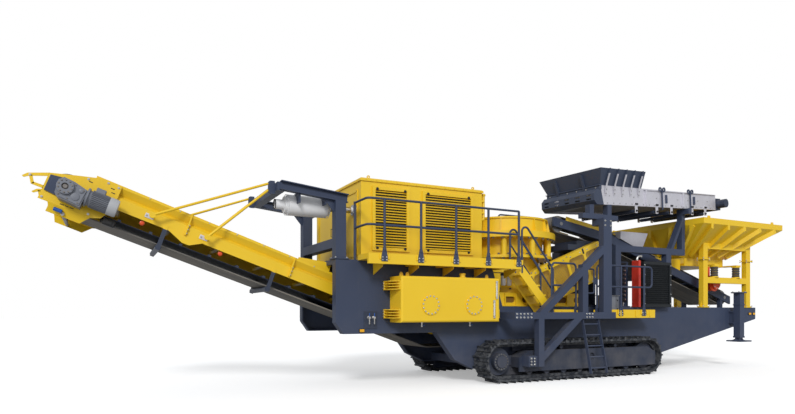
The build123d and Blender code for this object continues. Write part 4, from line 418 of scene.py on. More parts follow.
looks.update({
    "zinc": metal("zinc_bolts", (0.55, 0.55, 0.54), 0.15, 0.30, 60.0, 0.85),
    "silver": metal("exhaust_silver", (0.66, 0.65, 0.63), 0.2, 0.22, 40.0, 1.0, (0.35, 0.24, 0.14)),
    "black_fittings": paint("black_fittings", (0.014, 0.014, 0.015), (0.010, 0.010, 0.011), 0.15, 0.42),
    "soft_rubber": finish("curtain_rubber", rubber_group, {"Dust Amount": 0.25}, 0.3, specular=0.3),
    "screen_tan": paint("screen_tan", (0.48, 0.31, 0.08), (0.38, 0.24, 0.06), 0.3, 0.5),
    # A paler copy of the slate paint: painted light for the feed boot's lit end faces.
    "boot_slate_painted_light": paint("boot_slate_painted_light", (0.052, 0.067, 0.108), (0.045, 0.058, 0.094), 0.18, 0.42, 0.3),
    "pale_grey": paint("cowl_pale_grey", (0.45, 0.46, 0.48), (0.40, 0.41, 0.43), 0.15, 0.35),
    "pocket_shade": paint("pocket_shade", (0.20, 0.105, 0.016), (0.14, 0.075, 0.012), 0.4, 0.6),
    "tap_blue": paint("tap_blue", (0.02, 0.10, 0.42), (0.015, 0.08, 0.34), 0.15, 0.35),
    "lamp_amber": paint("lamp_amber", (0.85, 0.42, 0.010), (0.78, 0.38, 0.008), 0.05, 0.18, 0.6),
})
OTHER_SLOTS = {
    "silver": "galvanised", "black_fittings": "black_paint", "soft_rubber": "black_rubber",
    "screen_tan": "yellow_paint", "boot_slate_painted_light": "slate_paint", "pale_grey": "grey_paint",
    "pocket_shade": "yellow_paint", "tap_blue": None, "lamp_amber": None}
print("materials:", len(bpy.data.materials))

# %% [markdown]
# Every solid takes the finish of its slot, so the record stays the place that says what is painted how. The
# feed boot takes a paler copy of the slate paint, which is painted light for its end faces that catch the
# light, and the feeder's pan is yellow like the hopper over it, so these are set after the rest.

# %% Finishes onto the solids


def refinish(name, material):
    nodes[name].data.materials.clear()
    nodes[name].data.materials.append(material)


for subpart in frame["record"]["subparts"]:
    refinish(subpart["node"], looks[subpart["material_slot"]])
for name, look in (("return_boot", "boot_slate_painted_light"), ("return_tail_guard", "boot_slate_painted_light"),
                   ("vibrating_feeder", "yellow_paint")):
    refinish(name, looks[look])
print("finished solids:", len(nodes))

# %% [markdown]
# ## Building pieces
# Small pieces are gathered in one mesh per piece: eased boxes, turned shapes, tubes and plates, which is how
# such parts are made from bar, tube and sheet. Separate primitives with modifiers could do it too, but one
# mesh per piece keeps the scene short, and its name says what it is.

# %% Shapes from bar, tube and sheet
SHARP_EDGE = math.radians(32)
THINNEST, FINEST_RADIUS, LARGEST_EASE = 0.001, 0.0005, 0.3


def attach(piece, body):
    """Lets a piece ride on its body."""
    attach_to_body(piece, body)
    return piece


class Shape:
    """Gathers the bodies of one piece in one mesh, which may have a place of its own."""

    def __init__(self, place=None):
        self.mesh = bmesh.new()
        self.place = place

    def box(self, low, high, ease=0.004, turn=None):
        """A box between two corners, its edges eased, turned about its own middle."""
        low, high = Vector(low), Vector(high)
        size = [max(abs(b - a), THINNEST) for a, b in zip(low, high)]
        place = Matrix.Translation((low + high) / 2) @ (turn.to_4x4() if turn else Matrix.Identity(4))
        made = bmesh.ops.create_cube(self.mesh, size=1.0, matrix=place @ Matrix.Diagonal((*size, 1.0)))
        edges = list({e for v in made["verts"] for e in v.link_edges})
        offset = min(ease, min(size) * LARGEST_EASE)
        bmesh.ops.bevel(self.mesh, geom=edges, offset=offset, segments=1, affect="EDGES")

    def block(self, place, low, high, ease=0.004, turn=None):
        """A box whose corners are measured from a place."""
        self.box(place + Vector(low), place + Vector(high), ease, turn)

    def rings(self, loops, closed=True):
        """Joins loops of points by quads, and closes both ends."""
        made = [[self.mesh.verts.new(p) for p in loop] for loop in loops]
        count = len(made[0])
        for a, b in zip(made, made[1:]):
            for i in range(count):
                j = (i + 1) % count
                self.mesh.faces.new((a[i], a[j], b[j], b[i]))
        if closed:
            self.mesh.faces.new(list(reversed(made[0])))
            self.mesh.faces.new(made[-1])

    def turned(self, base, axis, profile, sides=20):
        """A turned body: radius and height pairs along an axis from its base."""
        self.rings([ring(base + axis * h, axis, max(r, FINEST_RADIUS), sides) for r, h in profile])

    def hollow(self, base, axis, inner, outer, depth, sides=28):
        """A flat ring or short sleeve."""
        profile = ((inner, 0), (outer, 0), (outer, depth), (inner, depth), (inner, 0))
        self.rings([ring(base + axis * h, axis, r, sides) for r, h in profile], closed=False)

    def tube(self, path, radius, sides=10):
        """A round tube along points; its ends are closed."""
        loops = []
        side = (path[1] - path[0]).orthogonal().normalized()
        for i, p in enumerate(path):
            before = (p - path[i - 1]).normalized() if i else (path[1] - p).normalized()
            after = (path[i + 1] - p).normalized() if i + 1 < len(path) else before
            run = (before + after).normalized()
            side = (side - run * side.dot(run)).normalized()
            across = run.cross(side)
            angles = [math.tau * k / sides for k in range(sides)]
            loops.append([p + radius * (side * math.cos(a) + across * math.sin(a)) for a in angles])
        self.rings(loops)

    def plate(self, outline, depth):
        """A plate with a flat outline, given thickness by the vector depth."""
        self.rings([[Vector(p) for p in outline], [Vector(p) + depth for p in outline]])

    def bar(self, p, q, width, height, up):
        """A flat bar from p to q, its height along up."""
        run = (q - p).normalized()
        side = run.cross(up).normalized()
        rise = side.cross(run)
        corners = [side * width / 2 + rise * height / 2, -side * width / 2 + rise * height / 2,
                   -side * width / 2 - rise * height / 2, side * width / 2 - rise * height / 2]
        self.rings([[p + c for c in corners], [q + c for c in corners]])

    def keep(self, name, look, body="plant"):
        """Makes the piece, gives it its look and lets it ride on its body."""
        mesh = bpy.data.meshes.new(name)
        bmesh.ops.recalc_face_normals(self.mesh, faces=self.mesh.faces)
        self.mesh.to_mesh(mesh)
        self.mesh.free()
        if self.place:
            mesh.transform(self.place)
        mesh.polygons.foreach_set("use_smooth", [True] * len(mesh.polygons))
        mesh.set_sharp_from_angle(angle=SHARP_EDGE)
        mesh.materials.append(looks[look])
        return attach(enter(name, mesh), body)


print("shapes ready")

# %% [markdown]
# A bolt head is a washer with a six-sided head on it. Its tree takes points that carry the direction they
# look in, and puts one head on each. Fins, slats and wires are straight bars in a row. Tread plate has small
# raised lozenges that lie one way and then the other. Array modifiers could repeat them, but a tree takes any
# list of places and has named inputs.

# %% Trees for what repeats
INTEGER, VECTOR, FINISH, SHAPE = (
    "NodeSocketInt", "NodeSocketVector", "NodeSocketMaterial", "NodeSocketGeometry")
LOZENGE = (0.016, 0.005, 0.0035)
WASHER_HEIGHT, WASHER_WIDTH, HEAD_MIDDLE, HEAD_HEIGHT = 0.25, 1.45, 0.7, 1.2
TREAD_EDGES, TREAD_PITCH = (0.06, 0.05), (0.05, 0.045)


def geometry_tree(name, inputs):
    tree = bpy.data.node_groups.new(name, "GeometryNodeTree")
    for in_out in ("INPUT", "OUTPUT"):
        tree.interface.new_socket("Geometry", in_out=in_out, socket_type=SHAPE)
    for label, kind in (*inputs, ("Finish", FINISH)):
        tree.interface.new_socket(label, in_out="INPUT", socket_type=kind)
    return tree, tree.nodes.new("NodeGroupInput").outputs


def closed_tree(tree, given, points, shape, turn):
    """Ends a tree: the shape stands on every point, becomes real, gets the finish and goes out."""
    placed = node(tree, "GeometryNodeInstanceOnPoints", {"Points": points, "Instance": shape, "Rotation": turn})
    real = node(tree, "GeometryNodeRealizeInstances", {"Geometry": placed.outputs[0]})
    dressed = node(tree, "GeometryNodeSetMaterial", {"Geometry": real.outputs[0], "Material": given["Finish"]})
    node(tree, "NodeGroupOutput", {0: dressed.outputs[0]})
    return tree


def bolt_tree():
    tree, given = geometry_tree("bolt_heads", [("Radius", NUMBER), ("Height", NUMBER)])
    radius, height = given["Radius"], given["Height"]
    thin, wide = times(tree, height, WASHER_HEIGHT), times(tree, radius, WASHER_WIDTH)
    both = node(tree, "GeometryNodeJoinGeometry")
    for sides, half, depth, middle in ((12, wide, thin, times(tree, thin, 0.5)),
                                       (6, radius, height, times(tree, height, HEAD_MIDDLE))):
        disc = node(tree, "GeometryNodeMeshCylinder", {"Vertices": sides, "Radius": half, "Depth": depth})
        lift = node(tree, "ShaderNodeCombineXYZ", {"Z": middle})
        moved = node(tree, "GeometryNodeTransform", {
            "Geometry": disc.outputs[0], "Translation": lift.outputs[0]})
        tree.links.new(moved.outputs[0], both.inputs[0])
    facing = node(tree, "GeometryNodeInputNamedAttribute", {"Name": "out"}, data_type="FLOAT_VECTOR")
    turn = node(tree, "FunctionNodeAlignRotationToVector", {"Vector": facing.outputs[0]}, axis="Z")
    return closed_tree(tree, given, given["Geometry"], both.outputs[0], turn.outputs[0])


def comb_tree():
    tree, given = geometry_tree("bars_in_a_row", [
        ("Count", INTEGER), ("Start", VECTOR), ("Step", VECTOR), ("Size", VECTOR), ("Turn", VECTOR)])
    line = node(tree, "GeometryNodeMeshLine", {
        "Count": given["Count"], "Start Location": given["Start"], "Offset": given["Step"]})
    one = node(tree, "GeometryNodeMeshCube", {"Size": given["Size"]})
    return closed_tree(tree, given, line.outputs[0], one.outputs[0], given["Turn"])


def tread_tree():
    tree, given = geometry_tree("tread_lozenges", [
        ("Length", NUMBER), ("Width", NUMBER), ("Columns", INTEGER), ("Rows", INTEGER), ("Place", VECTOR)])
    field = node(tree, "GeometryNodeMeshGrid", {
        "Size X": given["Length"], "Size Y": given["Width"],
        "Vertices X": given["Columns"], "Vertices Y": given["Rows"]})
    moved = node(tree, "GeometryNodeTransform", {
        "Geometry": field.outputs[0], "Translation": given["Place"]})
    mark = node(tree, "GeometryNodeMeshUVSphere", {"Segments": 6, "Rings": 4, "Radius": 1.0})
    flat = node(tree, "GeometryNodeTransform", {"Geometry": mark.outputs[0], "Scale": LOZENGE})
    odd = maths(tree, "MODULO", node(tree, "GeometryNodeInputIndex").outputs[0], 2.0)
    angle = plus(tree, times(tree, odd, math.pi / 2), math.pi / 4)
    turn = node(tree, "ShaderNodeCombineXYZ", {"Z": angle})
    return closed_tree(tree, given, moved.outputs[0], flat.outputs[0], turn.outputs[0])


BOLTS, BARS, TREAD = bolt_tree(), comb_tree(), tread_tree()
print("trees:", [t.name for t in (BOLTS, BARS, TREAD)])

# %% [markdown]
# A tree is run once on a small seed mesh. What it makes is copied out as a plain mesh and the modifier is
# removed, so the piece keeps no live modifier. Inputs are set by their identifiers, because those are the keys
# that the modifier knows.

# %% Growing pieces with the trees


def grow(name, tree, look, slot, seed=None, **values):
    """Runs a tree on a seed mesh and keeps what it makes as a plain mesh."""
    values["Finish"] = looks[look]
    holder = enter(name, seed or bpy.data.meshes.new(name))
    grower = holder.modifiers.new("grow", "NODES")
    grower.node_group = tree
    for item in tree.interface.items_tree:
        if item.in_out == "INPUT" and item.name in values:
            grower[item.identifier] = values[item.name]
    now = bpy.context.evaluated_depsgraph_get()
    plain = bpy.data.meshes.new_from_object(holder.evaluated_get(now))
    holder.modifiers.remove(grower)
    holder.data = plain
    return attach(holder, "plant")


def bolts(name, places, radius, look="zinc"):
    """Bolt heads at places, each a point and the way it looks."""
    seed = bpy.data.meshes.new(name)
    seed.from_pydata([p for p, _ in places], [], [])
    facing = seed.attributes.new("out", "FLOAT_VECTOR", "POINT")
    facing.data.foreach_set("vector", [c for _, d in places for c in d])
    return grow(name, BOLTS, look, "grey_steel", seed, Radius=radius, Height=radius * HEAD_HEIGHT)


def bars(name, start, step, count, size, look, turn=(0, 0, 0)):
    return grow(name, BARS, look, OTHER_SLOTS.get(look, look),
                Count=count, Start=start, Step=step, Size=size, Turn=turn)


def tread(name, x0, x1, y0, y1, z):
    """Tread plate on a floor; odd counts let the lozenges lie one way and then the other in both directions."""
    length, width = x1 - x0 - TREAD_EDGES[0], y1 - y0 - TREAD_EDGES[1]
    columns, rows = (int(size / pitch) | 1 for size, pitch in zip((length, width), TREAD_PITCH))
    return grow(name, TREAD, "yellow_paint", "yellow_paint", Length=length, Width=width, Columns=columns,
                Rows=rows, Place=at((x0 + x1) / 2, (y0 + y1) / 2, z))


print("growers ready")

# %% [markdown]
# ## Power pack
# The louvre doors are held by black quarter-turn locks, and black sheets behind the louvres are painted
# shade for the dark inside of the housing, seen through the gaps. Both ends and the far side have framed
# service doors with hinges, as such housings do. A function draws a door from one corner, its width and the
# way the wall looks, so every wall uses the same few lines.

# %% Housing: locks, painted shade behind the louvres, and doors
house_low, house_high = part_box("engine_housing")
panel_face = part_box("louvre_panels")[0].y
LOCK = [(0.028, 0), (0.028, 0.008), (0.022, 0.013), (0.012, 0.013), (0.010, 0.009)]
DOOR_FOOT, DOOR_HEIGHT, DOOR_RIM, DOOR_PROUD = 2.52, 1.22, 0.05, 0.018
locks, shade_sheets = Shape(), Shape()
for x in (4.62, 5.21, 5.72, 6.67):
    for z in (3.765, 2.65):
        locks.turned(on_face(x, z, panel_face), NEAR, LOCK, 16)
locks.keep("louvre_locks", "black_fittings")
# Black sheets behind the louvre panels are painted shade for the dark inside of the housing.
for x0, x1 in ((4.578, 5.251), (5.658, 6.731)):
    shade_sheets.box(at(x0, -0.9716, 2.658), at(x1, -0.9704, 3.757), 0.0002)
shade_sheets.keep("louvre_shade_sheets", "black_fittings")


def framed_door(shape, corner, along, width, out):
    """A service door: a raised rim and two hinges, on a wall that looks out."""
    a = corner + out * DOOR_PROUD / 2
    b, lift = a + along * width, UP * DOOR_HEIGHT
    for p, q in ((a, b), (a + lift, b + lift), (a, a + lift), (b, b + lift)):
        shape.bar(p, q, DOOR_RIM, DOOR_PROUD, out)
    for share in (0.2, 0.8):
        hinge = a + lift * share + DOWN * 0.05 + out * (DOOR_PROUD / 2 + 0.008)
        shape.turned(hinge, UP, [(0.012, 0), (0.012, 0.1)], 10)


def on_end(x, y, z):
    """A place drawn in Y and Z, on a face that the frame gives in X."""
    return Vector((x, *at(0, y, z)[1:]))


doors = Shape()
for y in (-0.80, 0.40):
    framed_door(doors, on_end(house_low.x, y, DOOR_FOOT), FAR, 1.05, LEFT)
for x, width in ((4.50, 0.78), (5.42, 0.78), (6.18, 0.66)):
    framed_door(doors, on_face(x, DOOR_FOOT, house_high.y), RIGHT, width, FAR)
framed_door(doors, on_end(house_high.x, 0, DOOR_FOOT), FAR, 1.1, RIGHT)
doors.keep("service_door_frames", "yellow_paint")
print("housing dressed")

# %% [markdown]
# The roof has two bolted lids and four lifting eyes. A lid is two stacked boxes, a flange and a raised panel,
# because a folded sheet reads as two steps from a distance. Its bolts are a list of places for the bolt tree.

# %% Roof: lifting eyes and lids
roof_low, roof_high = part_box("housing_roof")


def on_roof(x, y, lift=0.0):
    return at(x, y, 0) + UP * (roof_high.z + lift)


eyes, lids, heads = Shape(), Shape(), []
for x in (4.48, 6.84):
    for y in (-0.90, 1.53):
        foot = on_roof(x, y)
        eyes.block(foot, (-0.05, -0.03, 0), (0.05, 0.03, 0.01), 0.003)
        eyes.hollow(foot + Vector((0, -0.008, 0.035)), FAR, 0.014, 0.032, 0.016, 16)
eyes.keep("roof_lifting_eyes", "yellow_paint")
for x0, x1 in ((4.66, 5.56), (5.74, 6.64)):
    lids.box(on_roof(x0, -0.62), on_roof(x1, 1.22, 0.018), 0.005)
    lids.box(on_roof(x0 + 0.06, -0.56), on_roof(x1 - 0.06, 1.16, 0.026))
    heads += [(on_roof(x, y, 0.018), UP) for x in (x0 + 0.03, x1 - 0.03) for y in (-0.50, 0.00, 0.60, 1.10)]
lids.keep("roof_lids", "yellow_paint")
bolts("roof_lid_bolts", heads, 0.011)
print("roof dressed")

# %% [markdown]
# A pull is a bent round bar: a tube along four points that stands off the door. A curve with a bevel would
# give the same, but this tube is a mesh at once and joins the other pulls in one piece. Small bolts hold the
# roof's trim along the near edge.

# %% Door pulls and trim bolts
PULL_FOOT = 3.0
grips = Shape()
pulls = [(on_face(x, PULL_FOOT, house_high.y + 0.02), FAR) for x in (5.16, 5.56, 6.74)]
pulls += [(on_end(house_low.x - 0.02, y, PULL_FOOT), LEFT) for y in (0.18, 0.48)]
for p, out in pulls:
    q = p + out * 0.045
    grips.tube([p, q, q + UP * 0.16, p + UP * 0.16], 0.009, 8)
grips.keep("door_pulls", "black_fittings")
trim = roof_low + Vector((0.12, -0.001, 0.022))
bolts("roof_trim_bolts", [(trim + RIGHT * 0.215 * i, NEAR) for i in range(13)], 0.007, "yellow_paint")
print("doors have pulls:", len(pulls))

# %% [markdown]
# An air pipe with a cap stands at the housing's end, held by two clips. It is a tube with a bend of one short
# step, since the pipe is thin and the bend is small in the picture.

# %% Pipe post at the housing's end
post = Shape()
foot = on_end(house_high.x, -0.90, 3.36)
knee = foot + RIGHT * 0.085
post.tube([foot, foot + RIGHT * 0.07, knee + UP * 0.015, knee + UP * 0.50], 0.032, 14)
post.turned(knee + UP * 0.50, UP, [(0.045, 0), (0.045, 0.03), (0.030, 0.045)], 14)
for z in (0.14, 0.38):
    post.block(foot + UP * z, (0, -0.045, -0.02), (0.09, 0.045, 0.02), 0.006)
post.keep("air_pipe_post", "yellow_paint")
print("pipe post", [round(v, 2) for v in foot])

# %% [markdown]
# ## Walkways and tank
# Walkway floors are tread plate, with raised lozenges that keep a boot from slipping. A bump texture would do
# from far off, but real lozenges catch the light at a low angle and are part of the mesh. The tread tree lays
# them on a grid.

# %% Tread plate on the walkway floors
UPPER_FLOOR, LOWER_FLOOR, FAR_FLOOR = 2.40, 1.40, 2.95
tread("upper_tread", 4.20, 7.54, -1.58, -1.11, UPPER_FLOOR)
tread("lower_tread", 8.31, 11.39, -1.58, -1.11, LOWER_FLOOR)
tread("far_tread", 9.31, 10.47, 1.14, 1.58, FAR_FLOOR)
print("tread plate laid")

# %% [markdown]
# Each rail post stands on a flat foot that is bolted to the kick plate between yellow pads, and angled
# brackets carry the upper floor from the chassis. One loop over the posts sets pads and bolts, so they follow
# when a post is moved.

# %% Post feet, kick-plate pads and floor brackets
UPPER_POSTS = (4.490, 5.235, 5.996, 6.738, 7.479)
LOWER_POSTS = (8.324, 8.990, 9.590, 10.310, 11.030)
pads, braces, heads = Shape(), Shape(), []
for posts, z in ((UPPER_POSTS, UPPER_FLOOR), (LOWER_POSTS, LOWER_FLOOR)):
    for x in posts:
        for dx in (-0.085, 0.085):
            pads.block(at(x + dx, -1.60, z + 0.03), (-0.016, -0.022, -0.05), (0.016, 0.0, 0.05))
        heads += [(at(x + dx, -1.612, z + dz), NEAR) for dx in (-0.04, 0.04) for dz in (-0.03, 0.02)]
for x in UPPER_POSTS:
    inner, outer = (at(x, y, UPPER_FLOOR - 0.10) for y in (-1.10, -1.50))
    braces.plate([inner, outer, outer + DOWN * 0.04, inner + DOWN * 0.17], RIGHT * 0.012)
pads.keep("kick_plate_pads", "yellow_paint")
braces.keep("floor_brackets", "yellow_paint")
bolts("post_foot_bolts", heads, 0.010)
print("post feet:", len(heads), "bolts")

# %% [markdown]
# The tank has two bolted round covers, two level gauges, lifting eyes and a filler. Round things are turned
# from a profile of radius and height, as on a lathe, and flat eyes are plates cut to an outline, so both are
# made as they would be in a workshop.

# %% Tank: covers, gauges and eyes
cover_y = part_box("service_tank")[0].y
face_y = cover_y + 0.018
TANK_EYE = ((-0.04, 0), (0.04, 0), (0.035, 0.05), (0.015, 0.085), (-0.015, 0.085), (-0.035, 0.05))
FILLER = [(0.075, 0), (0.075, 0.02), (0.055, 0.022), (0.055, 0.06), (0.062, 0.062), (0.062, 0.085),
          (0.05, 0.095)]
heads = [h for x in (5.453, 6.417) for h in round_heads(on_face(x, 1.567, cover_y), NEAR, 0.168, 14)]
bolts("tank_cover_bolts", heads, 0.011)
gauges, glass, eyes = Shape(), Shape(), Shape()
for x, z0, z1 in ((6.95, 1.69, 2.05), (6.89, 1.31, 1.67)):
    low, high = on_face(x - 0.022, z0, face_y - 0.022), on_face(x + 0.022, z1, face_y + 0.001)
    gauges.box(low, (high.x, high.y, low.z + 0.05))
    gauges.box((low.x, low.y, high.z - 0.05), high)
    for left in (low.x, high.x - 0.008):
        gauges.box((left, low.y + 0.002, low.z + 0.03), (left + 0.008, high.y, high.z - 0.03), 0.002)
    foot = Vector(((low.x + high.x) / 2, face_y - 0.010, low.z + 0.03))
    glass.turned(foot, UP, [(0.009, 0), (0.009, z1 - z0 - 0.06)], 10)
gauges.keep("level_gauge_frames", "silver")
glass.keep("level_gauge_tubes", "white_paint")
for x in (4.97, 5.10, 6.90):
    p = at(x, -1.32, 2.10)
    eyes.plate([p + Vector((dx, 0, dz)) for dx, dz in TANK_EYE], FAR * 0.014)
    eyes.hollow(p + Vector((0, -0.004, 0.05)), FAR, 0.014, 0.026, 0.022, 14)
eyes.turned(at(6.30, -1.35, 2.10), UP, FILLER, 20)
eyes.keep("tank_eyes_and_filler", "yellow_paint")
print("tank covered")

# %% [markdown]
# The tank hangs in finned brackets at its ends, and taps drain it. A bracket is two plates with four ribs
# between them, as it would be welded from sheet. The taps are turned, and their blue levers are a piece of
# their own because they have another finish.

# %% Tank: end brackets and taps
DRAIN = [(0.024, 0), (0.024, 0.02), (0.015, 0.022), (0.015, 0.05), (0.021, 0.052), (0.021, 0.085), (0.013, 0.09)]
SIDE_TAP = [(0.030, 0), (0.030, 0.012), (0.016, 0.014), (0.016, 0.05), (0.022, 0.052), (0.022, 0.075)]
ends, taps, levers, plate, heads = Shape(), Shape(), Shape(), Shape(), []
for x, way in ((4.84, LEFT), (7.03, RIGHT)):
    web, tip = way.x * 0.016, way.x * 0.15
    for z in (1.93, 1.40):
        p = at(x, -1.34, z)
        ends.block(p, (0, -0.21, -0.085), (web, 0.23, 0.085))
        ends.block(p, (web, 0.18, -0.085), (tip, 0.23, 0.085))
        for dz in (-0.075, -0.025, 0.025, 0.075):
            q = p + UP * (dz - 0.006) + way * 0.016
            r = q + way * 0.14
            ends.plate([q + NEAR * 0.20, q + FAR * 0.18, r + FAR * 0.18, r + NEAR * 0.02], UP * 0.012)
        heads += [(p + Vector((tip, 0.205, dz)), way) for dz in (-0.05, 0.0, 0.05)]
ends.keep("tank_end_brackets", "yellow_paint")
bolts("tank_bracket_bolts", heads, 0.013)
for x in (5.372, 6.453):
    p = at(x, -1.38, 1.24)
    taps.turned(p, DOWN, DRAIN, 12)
    levers.block(p, (-0.008, -0.10, -0.062), (0.008, 0.0, -0.052), 0.003)
for x in (4.385, 4.485):
    p = at(x, -1.112, 1.33)
    q = p + NEAR * 0.06
    taps.turned(p, NEAR, SIDE_TAP, 12)
    taps.tube([q, q + DOWN * 0.05, q + DOWN * 0.12], 0.013, 10)
    levers.block(p, (-0.007, -0.070, 0.0), (0.007, -0.058, 0.085), 0.003)
taps.keep("drain_taps", "silver")
levers.keep("tap_levers", "tap_blue")
plate.box(at(4.30, -1.112, 1.12), at(4.57, -1.099, 1.45), 0.006)
plate.keep("tap_plate", "charcoal_paint")
print("tank dressed")

# %% [markdown]
# Small amber lamps mark the plant's length along the chassis. Each is a lens on a black case. Two eased boxes
# are enough, because a lamp covers only a few pixels.

# %% Side lamps
cases, lenses = Shape(), Shape()
for x, z in ((4.258, 1.089), (15.626, 1.383), (15.800, 1.383)):
    p = at(x, -1.10, z)
    cases.block(p, (-0.055, -0.018, -0.035), (0.055, 0.0, 0.035), 0.006)
    lenses.block(p, (-0.045, -0.030, -0.026), (0.045, -0.017, 0.026), 0.007)
cases.keep("side_lamp_cases", "black_fittings")
lenses.keep("side_lamp_lenses", "lamp_amber")
print("side lamps set")

# %% [markdown]
# ## Exhaust and gantry
# Rolled seams run round the silencer, and its mouth is dark. Bright sleeves join its pipe, and a bolted ring
# flange stands where the pipe comes out of the housing. All of them are flat rings on one axis, so one helper
# gives places along it. The gantry's posts stand on bolted feet.

# %% Silencer seams, sleeves and gantry feet


def on_pipe(x):
    """A place on the axis of the exhaust."""
    return at(x, -0.620, 3.390)


seams, sleeves, mouth, shims, heads = Shape(), Shape(), Shape(), Shape(), []
for x in (2.955, 3.36, 3.745):
    seams.hollow(on_pipe(x), RIGHT, 0.187, 0.1925, 0.012, 40)
seams.keep("silencer_seams", "white_paint")
p = on_end(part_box("exhaust_silencer")[0].x, -0.620, 3.390)
mouth.hollow(p + LEFT * 0.002, RIGHT, 0.078, 0.0925, 0.012)
mouth.turned(p + RIGHT * 0.05, RIGHT, [(0.084, 0), (0.084, 0.004)], 28)
mouth.keep("silencer_mouth", "black_fittings")
for x0, x1, radius in ((3.80, 3.90, 0.060), (4.08, 4.22, 0.060), (4.262, 4.285, 0.098)):
    sleeves.hollow(on_pipe(x0), RIGHT, 0.050, radius, x1 - x0)
    for share in (0.2, 0.8):
        q = on_pipe(x0) + RIGHT * (x1 - x0) * share
        sleeves.hollow(q, RIGHT, radius - 0.002, radius + 0.005, 0.012)
sleeves.keep("exhaust_sleeves", "silver")
bolts("exhaust_flange_bolts", round_heads(on_pipe(4.262), LEFT, 0.080, 6), 0.008)
for y in (-1.12, 0.84):
    low = at(3.72, y, UPPER_FLOOR)
    shims.block(low, (0, 0, 0), (0.28, 0.28, 0.022))
    heads += [(low + Vector((dx, dy, 0.022)), UP) for dx in (0.03, 0.25) for dy in (0.03, 0.25)]
shims.keep("gantry_foot_plates", "slate_paint")
bolts("gantry_foot_bolts", heads, 0.015)
print("exhaust dressed")

# %% [markdown]
# ## Discharge conveyor
# The folded side sheets are bolted together in lengths, with a lap plate at every joint. The conveyor rises
# at a steady slope, so a helper turns a distance along it and a height over it into a place. The pieces could
# be built level and then turned, but this way each number can be read off a side view.

# %% Flanges, gussets and feet along the conveyor
INCLINE = math.atan2(2.36, 6.53)
RUN = Vector((-math.cos(INCLINE), 0, math.sin(INCLINE)))
RISE = Vector((math.sin(INCLINE), 0, math.cos(INCLINE)))
DOWNHILL = -RUN
TILT = Matrix.Rotation(INCLINE, 3, "Y")
GUSSET = ((5.39, 0.010), (5.10, -0.115), (4.98, -0.115), (4.77, 0.010))
SKIRT_END = ((3.12, 0.385), (3.12, 0.435), (2.62, 0.545), (2.48, 0.545), (2.48, 0.385))
ROLLER_CAP = [(0.040, 0), (0.040, 0.03), (0.026, 0.034), (0.026, 0.052), (0.012, 0.055)]


def on_incline(along, up, y):
    return at(6.0, y, 0.98) + RUN * along + RISE * up


laps, feet, deck, rollers, heads = Shape(), Shape(), Shape(), Shape(), []
for side, out in SIDES:
    for a in (3.19, 5.10):
        laps.bar(on_incline(a, 0.02, side * 0.651), on_incline(a, 0.388, side * 0.651), 0.042, 0.022, RUN)
        heads += [(on_incline(a - 0.011, up, side * 0.660), DOWNHILL) for up in (0.06, 0.13, 0.20)]
    laps.plate([on_incline(a, u, side * 0.631) for a, u in GUSSET], out * 0.010)
    laps.plate([on_incline(a, u, side * 0.585) for a, u in SKIRT_END], out * 0.008)
    for a in (5.71, 4.80):
        p, q = (on_incline(a + da, 0.10, side * 0.636) for da in (-0.07, 0.07))
        feet.bar(p, q, 0.012, 0.075, RISE)
        heads += [(on_incline(a + da, 0.10, side * 0.642), out) for da in (-0.045, 0.045)]
    heads += [(on_incline(0.80 + step * 0.50, 0.372, side * 0.640), out) for step in range(12)]
laps.keep("conveyor_flanges", "yellow_paint")
feet.keep("stay_feet", "galvanised")
bolts("conveyor_bolts", heads, 0.012)
# A charcoal deck plate with cross bars under the carrying belt; it is also painted shade that keeps the gap
# between the belt's runs dark.
deck.bar(on_incline(0.90, -0.165, 0), on_incline(6.40, -0.165, 0), 1.22, 0.004, RISE)
for step in range(11):
    p = on_incline(1.1 + step * 0.5, -0.145, 0)
    deck.bar(p + NEAR * 0.60, p + FAR * 0.60, 0.05, 0.034, RISE)
deck.keep("belt_deck_and_shade_plate", "charcoal_paint")
for a in (5.776, 4.447):
    for side, out in SIDES:
        rollers.turned(on_incline(a, -0.045, side * 0.560), out, ROLLER_CAP, 16)
rollers.keep("return_roller_caps", "orange_paint")
print("conveyor dressed with", len(heads), "bolts")

# %% [markdown]
# Below their webs the side frames carry the hangers of the return rollers, which are painted dark. Since they
# are one solid with the yellow sheets, the colour changes along the webs' lower edge, measured across the
# slope. The solid could be split, but a plane in the material leaves the frame as it is.

# %% Two colours on the side frames


def paint_below(name, upper, lower, base, normal):
    """Paint that changes from one colour to another under a sloping plane."""
    material = bpy.data.materials.new(name)
    tree = blank_tree(material)
    above, below = (node(tree, "ShaderNodeGroup", paint_values(*pair, 0.16, 0.36), node_tree=paint_group).outputs
                    for pair in (upper, lower))
    where = node(tree, "ShaderNodeTexCoord").outputs["Object"]
    shifted = node(tree, "ShaderNodeVectorMath", {0: where, 1: base}, operation="SUBTRACT")
    height = node(tree, "ShaderNodeVectorMath", {0: shifted.outputs[0], 1: normal}, operation="DOT_PRODUCT")
    share = remap(tree, height.outputs["Value"], 0.001, -0.001)
    shade(tree, above, tint(tree, share, above["Colour"], below["Colour"]), PAINT_BUMP, specular=0.4)
    return material


refinish("discharge_side_frames", paint_below(
    "conveyor_two_tone", YELLOW_PAIR, CHARCOAL_PAIR, on_incline(0, -0.008, 0), RISE))
print("side frames in two colours")

# %% [markdown]
# The head plates close the drum in on both sides. Their top runs nearly level, two slender arms reach past
# the drum, and the lower part leans in under the belt. They are cut from sheet, so each is an outline with a
# thickness, and they stand for the plainer solids of the frame.

